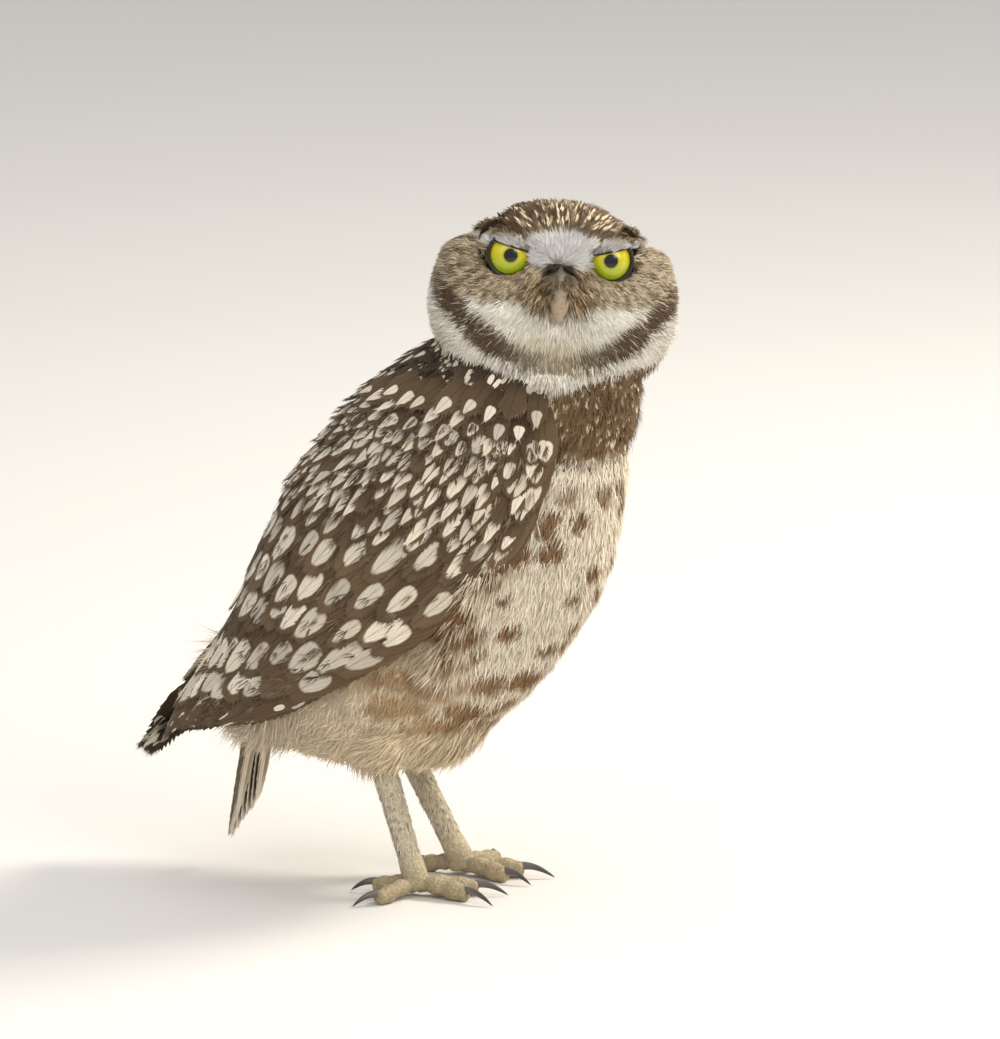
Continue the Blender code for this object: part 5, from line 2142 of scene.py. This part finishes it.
def rounded_tube(
    points: list[Vector],
    sizes: Callable[[Array, Array], tuple[Array, Array]],
    side: Array,
    around: int,
    levels: int,
) -> bmesh.types.BMesh:
    """A closed form round a curve, from a sphere.

    Args:
        points: Places that the middle line runs through.
        sizes: Half width and half height for shares along and angles round it.
        side: The sideways direction.
        around: Points round it.
        levels: Points along it.

    Returns:
        The form, whose poles are the curve's ends.
    """

    def place(sphere: Array) -> Array:
        """Points of the form for points of a sphere."""
        share = 1 - np.arccos(np.clip(sphere[:, 2], -1, 1)) / math.pi
        angle = np.arctan2(sphere[:, 1], sphere[:, 0])
        middle, ahead = along_curve(points, share)
        across = across_plane(np.tile(side, (len(share), 1)), ahead)
        over = np.cross(ahead, across)
        wide, tall = sizes(share, angle)
        closing = np.sqrt(np.clip(1 - np.abs(2 * share - 1) ** 14, 0, 1))
        outward = across * (np.cos(angle) * wide * closing)[:, None]
        return middle + outward + over * (np.sin(angle) * tall * closing)[:, None]

    return formed(around, levels, place)


def set_length_uv(mesh: bpy.types.Mesh, start: Array, end: Array) -> None:
    """Gives a mesh the UV map length, whose v runs from start to end.

    Args:
        mesh: The mesh.
        start: Where v is 0.
        end: Where v is 1.
    """
    points = body_points(mesh)
    run = end - start
    share = (points - start) @ run / (run @ run)
    layer = mesh.uv_layers.new(name="length")
    index = np.empty(len(mesh.loops), np.int32)
    mesh.loops.foreach_get("vertex_index", index)
    place = np.column_stack([np.zeros(len(index)), share[index]])
    layer.uv.foreach_set("vector", place.astype(np.float32).ravel())


@dataclass
class Eyes:
    """Both eyes, with the dark rim and the slanted upper lid of each."""

    rim: float = 0.62
    cornea: float = 0.5
    lid_grey: Colour = (0.30, 0.28, 0.25)
    lid_black: Colour = (0.012, 0.010, 0.009)

    def build(self) -> None:
        """Makes eyes, rims and lids."""
        material, edge = EyeFinish().make(), LidFinish().make()
        lid = PlumageFinish("lid_feathers").make()
        for side in Side:
            self.eye(side, material)
            self.rim_ring(side, edge)
            self.upper_lid(side, lid)

    def stand(self, side: Side) -> Matrix:
        """Gives the matrix that carries a form about the eye's centre, facing +Z, to the body."""
        place = Matrix.Translation((HEAD.eye_forward, HEAD.eye_side * side.value, 0))
        return HEAD.matrix() @ place @ Matrix.Rotation(math.pi / 2, 4, "Y")

    def eye(self, side: Side, material: bpy.types.Material) -> None:
        """Makes one eye, a sphere with a slightly raised front.

        Args:
            side: The eye's side.
            material: Its finish.
        """

        def place(sphere: Array) -> Array:
            """Points of the eye for points of a sphere."""
            front = fade(sphere[:, 2], 0.72, 0.95)
            return sphere * (HEAD.eye_radius + self.cornea * front)[:, None]

        bm = formed(64, 48, place)
        gaze = np.array([vert.co for vert in bm.verts])
        off = np.where(gaze[:, 2] > 0, np.hypot(gaze[:, 0], gaze[:, 1]), 20)
        spokes = unit(gaze[:, :2]) * 3
        bmesh.ops.transform(bm, matrix=self.stand(side), verts=bm.verts)
        obj = object_from_bmesh(f"eyeball_{side.word}", bm)
        set_attribute(obj.data, "gaze", np.column_stack([off, -gaze[:, 0], np.zeros(len(off))]))
        set_attribute(obj.data, "spokes", np.column_stack([spokes, off * 0.12]))
        dress_piece(obj, material, (f"eye_{side.word}",))

    def rim_ring(self, side: Side, material: bpy.types.Material) -> None:
        """Makes the dark bare ring of lid round one eye's opening, cut off above by the upper lid.

        Args:
            side: The eye's side.
            material: The ring's finish.
        """
        forward = math.sqrt((HEAD.eye_radius + 0.6) ** 2 - HEAD.rim_radius**2)
        bm = bmesh.new()
        bmesh.ops.create_circle(bm, segments=12, radius=self.rim)
        turn = Matrix.Translation((HEAD.rim_radius, 0, 0)) @ Matrix.Rotation(math.pi / 2, 4, "X")
        bmesh.ops.transform(bm, matrix=turn, verts=bm.verts)
        bmesh.ops.spin(
            bm, geom=bm.edges[:], axis=(0, 0, 1), cent=(0, 0, 0), angle=2 * math.pi, steps=64, use_merge=True
        )
        stand = self.stand(side)
        bmesh.ops.transform(bm, matrix=stand @ Matrix.Translation((0, 0, forward)), verts=bm.verts)
        slant = math.radians(HEAD.lid_slant) * side.value
        centre = HEAD.matrix() @ Vector((HEAD.eye_forward, HEAD.eye_side * side.value, HEAD.lid_drop + 1.0))
        normal = HEAD.matrix().to_3x3() @ Vector((0, -math.sin(slant), math.cos(slant)))
        cut = bmesh.ops.bisect_plane(
            bm, geom=[*bm.verts, *bm.edges, *bm.faces], plane_co=centre, plane_no=normal, clear_outer=True
        )
        bmesh.ops.holes_fill(bm, edges=[e for e in cut["geom_cut"] if isinstance(e, bmesh.types.BMEdge)])
        dress_piece(object_from_bmesh(f"eye_rim_{side.word}", bm), material)

    def upper_lid(self, side: Side, material: bpy.types.Material) -> None:
        """Makes the upper lid, a cap of a shell cut off on a slant that falls to the beak.

        Args:
            side: The eye's side.
            material: The lid's finish.
        """
        bm = formed(64, 40, lambda sphere: sphere * HEAD.lid_radius)
        slant = math.radians(HEAD.lid_slant) * side.value
        local = Matrix.Rotation(math.pi / 2, 4, "Y")
        bmesh.ops.transform(bm, matrix=local, verts=bm.verts)
        bmesh.ops.bisect_plane(
            bm, geom=[*bm.verts, *bm.edges, *bm.faces], plane_co=(0, 0, HEAD.lid_drop),
            plane_no=(0, math.sin(slant), -math.cos(slant)), clear_outer=True,
        )
        bmesh.ops.recalc_face_normals(bm, faces=bm.faces)
        bmesh.ops.solidify(bm, geom=bm.faces[:], thickness=0.6)
        bmesh.ops.transform(bm, matrix=self.stand(side) @ local.inverted(), verts=bm.verts)
        obj = object_from_bmesh(f"upper_lid_{side.word}", bm)
        count = len(obj.data.vertices)
        local = HEAD.local(body_points(obj.data)) - np.array([0, HEAD.eye_side * side.value, HEAD.lid_drop])
        edge = local[:, 2] * math.cos(slant) - local[:, 1] * math.sin(slant)
        set_attribute(obj.data, "base", mix(self.lid_black, self.lid_grey, fade(edge, 0.3, 0.9)))
        unmarked = {"mark": (0.5, 0.5, 0.5), "marking": (9.0, 1.0, 0.0), "mark_size": (0.1, 0.1, 0.0)}
        for name, row in unmarked.items():
            set_attribute(obj.data, name, np.tile(row, (count, 1)))
        obj.data.uv_layers.new(name="vane")
        dress_piece(obj, material)


@dataclass
class Beak:
    """Both halves of the short hooked beak, with nostrils in the upper one."""

    # Middle line and sizes of each half: forward, height, half width, half depth.
    upper: tuple[tuple[float, ...], ...] = (
        (17.0, -5.5, 3.9, 3.4), (19.5, -6.0, 4.8, 4.0), (24.0, -7.5, 4.8, 4.2), (27.5, -11.0, 4.1, 3.6),
        (28.8, -15.0, 3.1, 2.6), (28.3, -18.6, 1.8, 1.5), (27.0, -21.2, 0.4, 0.35),
    )
    lower: tuple[tuple[float, ...], ...] = (
        (15.0, -14.2, 2.8, 1.1), (17.0, -14.6, 3.3, 1.3), (21.5, -15.8, 2.9, 1.2), (24.6, -16.8, 1.8, 0.9),
        (25.7, -17.2, 0.4, 0.3),
    )
    nostril: tuple[float, float, float] = (26.6, 3.9, -7.6)
    nostril_size: float = 1.15
    nostril_depth: float = 1.3

    def build(self) -> None:
        """Makes both halves."""
        horn = HornFinish("beak_horn_finish", (0.085, 0.072, 0.060), (0.37, 0.28, 0.19), 0.42).make()
        for name, rows in (("upper", self.upper), ("lower", self.lower)):
            self.half(f"beak_{name}_half", rows, horn, (f"beak_{name}",))

    def half(
        self,
        name: str,
        rows: tuple[tuple[float, ...], ...],
        material: bpy.types.Material,
        nodes: tuple[str, ...],
    ) -> None:
        """Makes one half round its middle line.

        Args:
            name: The piece's name.
            rows: The middle line and sizes.
            material: The horn.
            nodes: The solids that the piece replaces.
        """
        line = [Vector((row[0], 0, row[1])) for row in rows]
        table = np.column_stack([np.linspace(0, 1, len(rows)), np.array(rows)[:, 2:]])

        def sizes(share: Array, angle: Array) -> tuple[Array, Array]:
            """Half width and half depth of the half, ridged along the top."""
            wide, tall = smooth_rows(table, share).T
            ridge = 1 + 0.10 * np.cos(angle * 2) * np.sin(share * math.pi)
            return wide, tall / ridge

        bm = rounded_tube(line, sizes, np.array([0.0, 1.0, 0.0]), 48, 40)
        if "upper" in name:
            for vert in bm.verts:
                away = Vector((vert.co.x, abs(vert.co.y), vert.co.z)) - Vector(self.nostril)
                dent = math.exp(-((away.length / self.nostril_size) ** 2)) * self.nostril_depth
                vert.co.y -= math.copysign(dent, vert.co.y)
        bmesh.ops.transform(bm, matrix=HEAD.matrix(), verts=bm.verts)
        obj = object_from_bmesh(name, bm)
        start, end = (HEAD.to_body(np.array([point]))[0] for point in (line[0], line[-1]))
        set_length_uv(obj.data, start, end)
        dress_piece(obj, material, nodes)


@dataclass
class Feet:
    """Both feet, with scaly toes and hooked claws."""

    ankles: dict[Side, tuple[float, float, float]] = field(
        default_factory=lambda: {Side.RIGHT: (-0.5, -17.5, 6.5), Side.LEFT: (1.5, 17.0, 6.5)}
    )
    heels: dict[Side, tuple[float, float, float]] = field(
        default_factory=lambda: {Side.RIGHT: (-14.5, -17, 50.5), Side.LEFT: (-20.5, 14.5, 50.0)}
    )
    # For each toe, hind, inner, middle and outer: its end, its claw's tip, its half thickness.
    toes: dict[Side, tuple[tuple[float, ...], ...]] = field(
        default_factory=lambda: {
            Side.RIGHT: (
                (-14.5, -18.5, -22.5, -20.5, 2.9), (18.5, -10.5, 29.0, -8.0, 3.1),
                (19.0, -20.5, 30.5, -25.5, 3.2), (-6.0, -36.0, -12.5, -43.5, 2.9),
            ),
            Side.LEFT: (
                (-12.5, 18.0, -20.5, 19.5, 2.9), (20.0, 11.0, 30.5, 8.5, 3.1),
                (22.5, 20.0, 33.5, 22.5, 3.2), (7.0, 35.5, 3.0, 44.5, 2.9),
            ),
        }
    )
    toe_names: tuple[str, ...] = ("hind", "inner", "middle", "outer")
    floor_flat: float = 0.55
    claw_rise: float = 3.4
    claw_thick: float = 1.6
    claw_clear: float = 0.45
    voxel: float = 0.42
    scute_depth: float = 0.16
    scute_length: float = 1.5
    low_skin: Colour = (0.36, 0.29, 0.17)
    high_skin: Colour = (0.56, 0.48, 0.33)

    def build(self) -> None:
        """Makes feet and claws."""
        toe = ToeFinish().make()
        horn = HornFinish("claw_horn", (0.15, 0.135, 0.12), (0.045, 0.042, 0.043), 0.30).make()
        for side in Side:
            self.foot(side, toe)
            for name, row in zip(self.toe_names, self.toes[side]):
                self.claw(f"{side.word}_{name}", Vector(self.ankles[side]), row, horn)

    def toe_line(self, ankle: Vector, row: tuple[float, ...]) -> list[Vector]:
        """The middle line of a toe.

        Args:
            ankle: Where it starts from.
            row: The toe's end, its claw's tip and its half thickness.

        Returns:
            Points from the ankle to the toe's end.
        """
        half = row[4]
        base, tip = Vector((ankle.x, ankle.y, half + 1.0)), Vector((row[0], row[1], half))
        out = (tip - base).normalized()
        shares = (0.0, 0.2, 0.4, 0.6, 0.8, 1.0)
        rise = [1.6 * math.sin(math.pi * s) * (1 - s) for s in shares]
        return [base.lerp(tip + out * 0.8, s) + Vector((0, 0, up)) for s, up in zip(shares, rise)]

    def foot(self, side: Side, material: bpy.types.Material) -> None:
        """Fuses ankle and toes, with raised scutes on top, and flattens them underneath.

        Args:
            side: The foot's side.
            material: Its skin.
        """
        ankle, heel = Vector(self.ankles[side]), Vector(self.heels[side])
        down = (ankle - heel).normalized()
        whole = bmesh.new()
        forms = []
        for row in self.toes[side]:
            line = self.toe_line(ankle, row)
            length = (line[-1] - line[0]).length

            def sizes(
                share: Array, angle: Array, half: float = row[4], length: float = length
            ) -> tuple[Array, Array]:
                """Half width and half height of a toe, with its joints and scutes."""
                joints = 1 + 0.09 * np.sin(share * math.pi * 6 + 0.6)
                top = np.clip(np.sin(angle), 0, 1)
                scutes = self.scute_depth * top * np.abs(np.sin(share * length * math.pi / self.scute_length))
                size = half * (0.82 + 0.18 * share) * joints + scutes
                return size * 0.96, size

            across = np.array([-(line[-1] - line[0]).y, (line[-1] - line[0]).x, 0.0])
            forms.append(rounded_tube(line, sizes, unit(across), 36, 90))
        line = [ankle - down * 9, ankle - down * 4, ankle, Vector((ankle.x + 1.0, ankle.y, 2.2))]
        sideways = np.array([0.0, 1.0, 0.0])
        forms.append(
            rounded_tube(line, lambda share, angle: (4.1 + 0.5 * share, 3.9 + 0.8 * share), sideways, 36, 40)
        )
        for form in forms:
            mesh = mesh_from_bmesh("form", form)
            whole.from_mesh(mesh)
            bpy.data.meshes.remove(mesh)
        obj = object_from_bmesh(f"foot_skin_{side.word}", whole)
        fuse(obj, self.voxel)
        points = body_points(obj.data)
        points[:, 2] = np.maximum(points[:, 2], self.floor_flat * 0.25 + 0.25)
        set_points(obj.data, points)
        # Painted shade: the toes' skin turns darker towards the floor.
        set_attribute(obj.data, "base", mix(self.low_skin, self.high_skin, fade(points[:, 2], 2, 13)))
        obj.data.shade_smooth()
        dress_piece(obj, material, (f"foot_{side.word}",))

    def claw(self, name: str, ankle: Vector, row: tuple[float, ...], material: bpy.types.Material) -> None:
        """Makes one claw, which rises out of its toe and hooks down.

        Args:
            name: Side and toe.
            ankle: Where the toe starts from.
            row: The toe's end, the claw's tip and the toe's half thickness.
            material: The horn.
        """
        end = Vector((row[0], row[1], row[4]))
        out = (end - Vector((ankle.x, ankle.y, row[4] + 1.0))).normalized()
        start = end - out * 2.2 + Vector((0, 0, row[4] * 0.28))
        tip = Vector((row[2], row[3], self.floor_flat + self.claw_clear))
        crown = start.lerp(tip, 0.45) + Vector((0, 0, self.claw_rise))
        line = []
        for k in range(9):
            share = k / 8
            line.append(start * (1 - share) ** 2 + crown * (2 * share * (1 - share)) + tip * share**2)

        def sizes(share: Array, angle: Array) -> tuple[Array, Array]:
            """Half width and half height of the claw, thinning to its tip."""
            thick = self.claw_thick * np.maximum(1 - share, 0.004) ** 0.6
            return thick * 0.78, thick

        across = unit(np.array([-(tip - start).y, (tip - start).x, 0.0]))
        obj = object_from_bmesh(f"talon_{name}", rounded_tube(line, sizes, across, 24, 28))
        set_length_uv(obj.data, np.array(start), np.array(tip))
        dress_piece(obj, material, (f"claw_{name}",))


@dataclass
class Studio:
    """The pale floor, the soft lights and the camera."""

    azimuth: float = 22.0
    elevation: float = 11.0
    distance: float = 4.0
    lens: float = 416.0
    sensor: float = 36.0
    aim_right: float = 21.0
    aim_up: float = 122.17

    def axes(self) -> tuple[Vector, Vector, Vector]:
        """Gives the picture's right and up directions, and the way to the camera."""
        a, e = math.radians(self.azimuth), math.radians(self.elevation)
        back = Vector((math.sin(a) * math.cos(e), -math.cos(a) * math.cos(e), math.sin(e)))
        right = Vector((math.cos(a), math.sin(a), 0))
        return right, back.cross(right), back

    def build(self) -> None:
        """Sets floor, lights, world and camera."""
        self.floor()
        right, up, back = self.axes()
        self.light("key", right * 1.0 - back * 0.45 + Vector((0, 0, 1.1)), 0.5, 21.0, (1.0, 0.92, 0.80))
        self.light("fill", -right * 0.7 + back * 1.3 + Vector((0, 0, 0.9)), 1.2, 5.5, (0.95, 0.97, 1.0))
        self.light("front", right * 0.9 + back * 1.2 + Vector((0, 0, 0.7)), 0.9, 11.5, (1.0, 0.94, 0.83))
        self.light("top", Vector((-0.1, 0.1, 1.6)), 1.4, 6.0, (1.0, 0.98, 0.95))
        world = bpy.data.worlds.new("studio")
        world.use_nodes = True
        world.node_tree.nodes["Background"].inputs["Color"].default_value = (0.84, 0.84, 0.85, 1)
        world.node_tree.nodes["Background"].inputs["Strength"].default_value = 0.66
        bpy.context.scene.world = world
        bpy.context.scene.view_settings.view_transform = "Standard"
        camera = bpy.data.cameras.new("camera")
        camera.sensor_width, camera.lens = self.sensor, self.lens
        camera.clip_end = 50
        obj = in_scene("camera", camera)
        aim = (right * self.aim_right + up * self.aim_up) * MM + SHIFT
        obj.location = aim + back * self.distance
        obj.rotation_mode = "QUATERNION"
        obj.rotation_quaternion = (-back).to_track_quat("-Z", "Y")
        bpy.context.scene.camera = obj

    def floor(self) -> None:
        """Makes a wide flat floor."""
        bm = bmesh.new()
        bmesh.ops.create_grid(bm, x_segments=2, y_segments=2, size=30)
        mesh = mesh_from_bmesh("floor", bm)
        mesh.materials.append(FloorFinish().make())
        in_scene("floor", mesh)

    def light(self, name: str, place: Vector, size: float, power: float, colour: Colour) -> None:
        """Adds one soft square light that faces the owl.

        Args:
            name: Its name.
            place: Where it stands, in metres from a point inside the owl.
            size: Its side in metres.
            power: Its power in watts.
            colour: Its colour.
        """
        lamp = bpy.data.lights.new(name, "AREA")
        lamp.shape, lamp.size, lamp.energy, lamp.color = "SQUARE", size, power, colour
        obj = in_scene(name, lamp)
        obj.location = place + SHIFT + Vector((0, 0, 0.12))
        obj.rotation_mode = "QUATERNION"
        obj.rotation_quaternion = (-place).to_track_quat("-Z", "Y")


def main() -> None:
    """Builds the studio and the owl, piece by piece."""
    logging.basicConfig(level=logging.INFO, format="%(name)s %(message)s")
    Studio().build()
    plumage = PlumageFinish("plumage").make()
    skin = Skin()
    skin.build()
    HeadCoat(skin, plumage).build()
    BodyCoat(skin, plumage).build()
    for form in WINGS.values():
        Wing(form, plumage).build()
    Tail(plumage).build()
    Eyes().build()
    Beak().build()
    Feet().build()


if __name__ == "__main__":
    main()
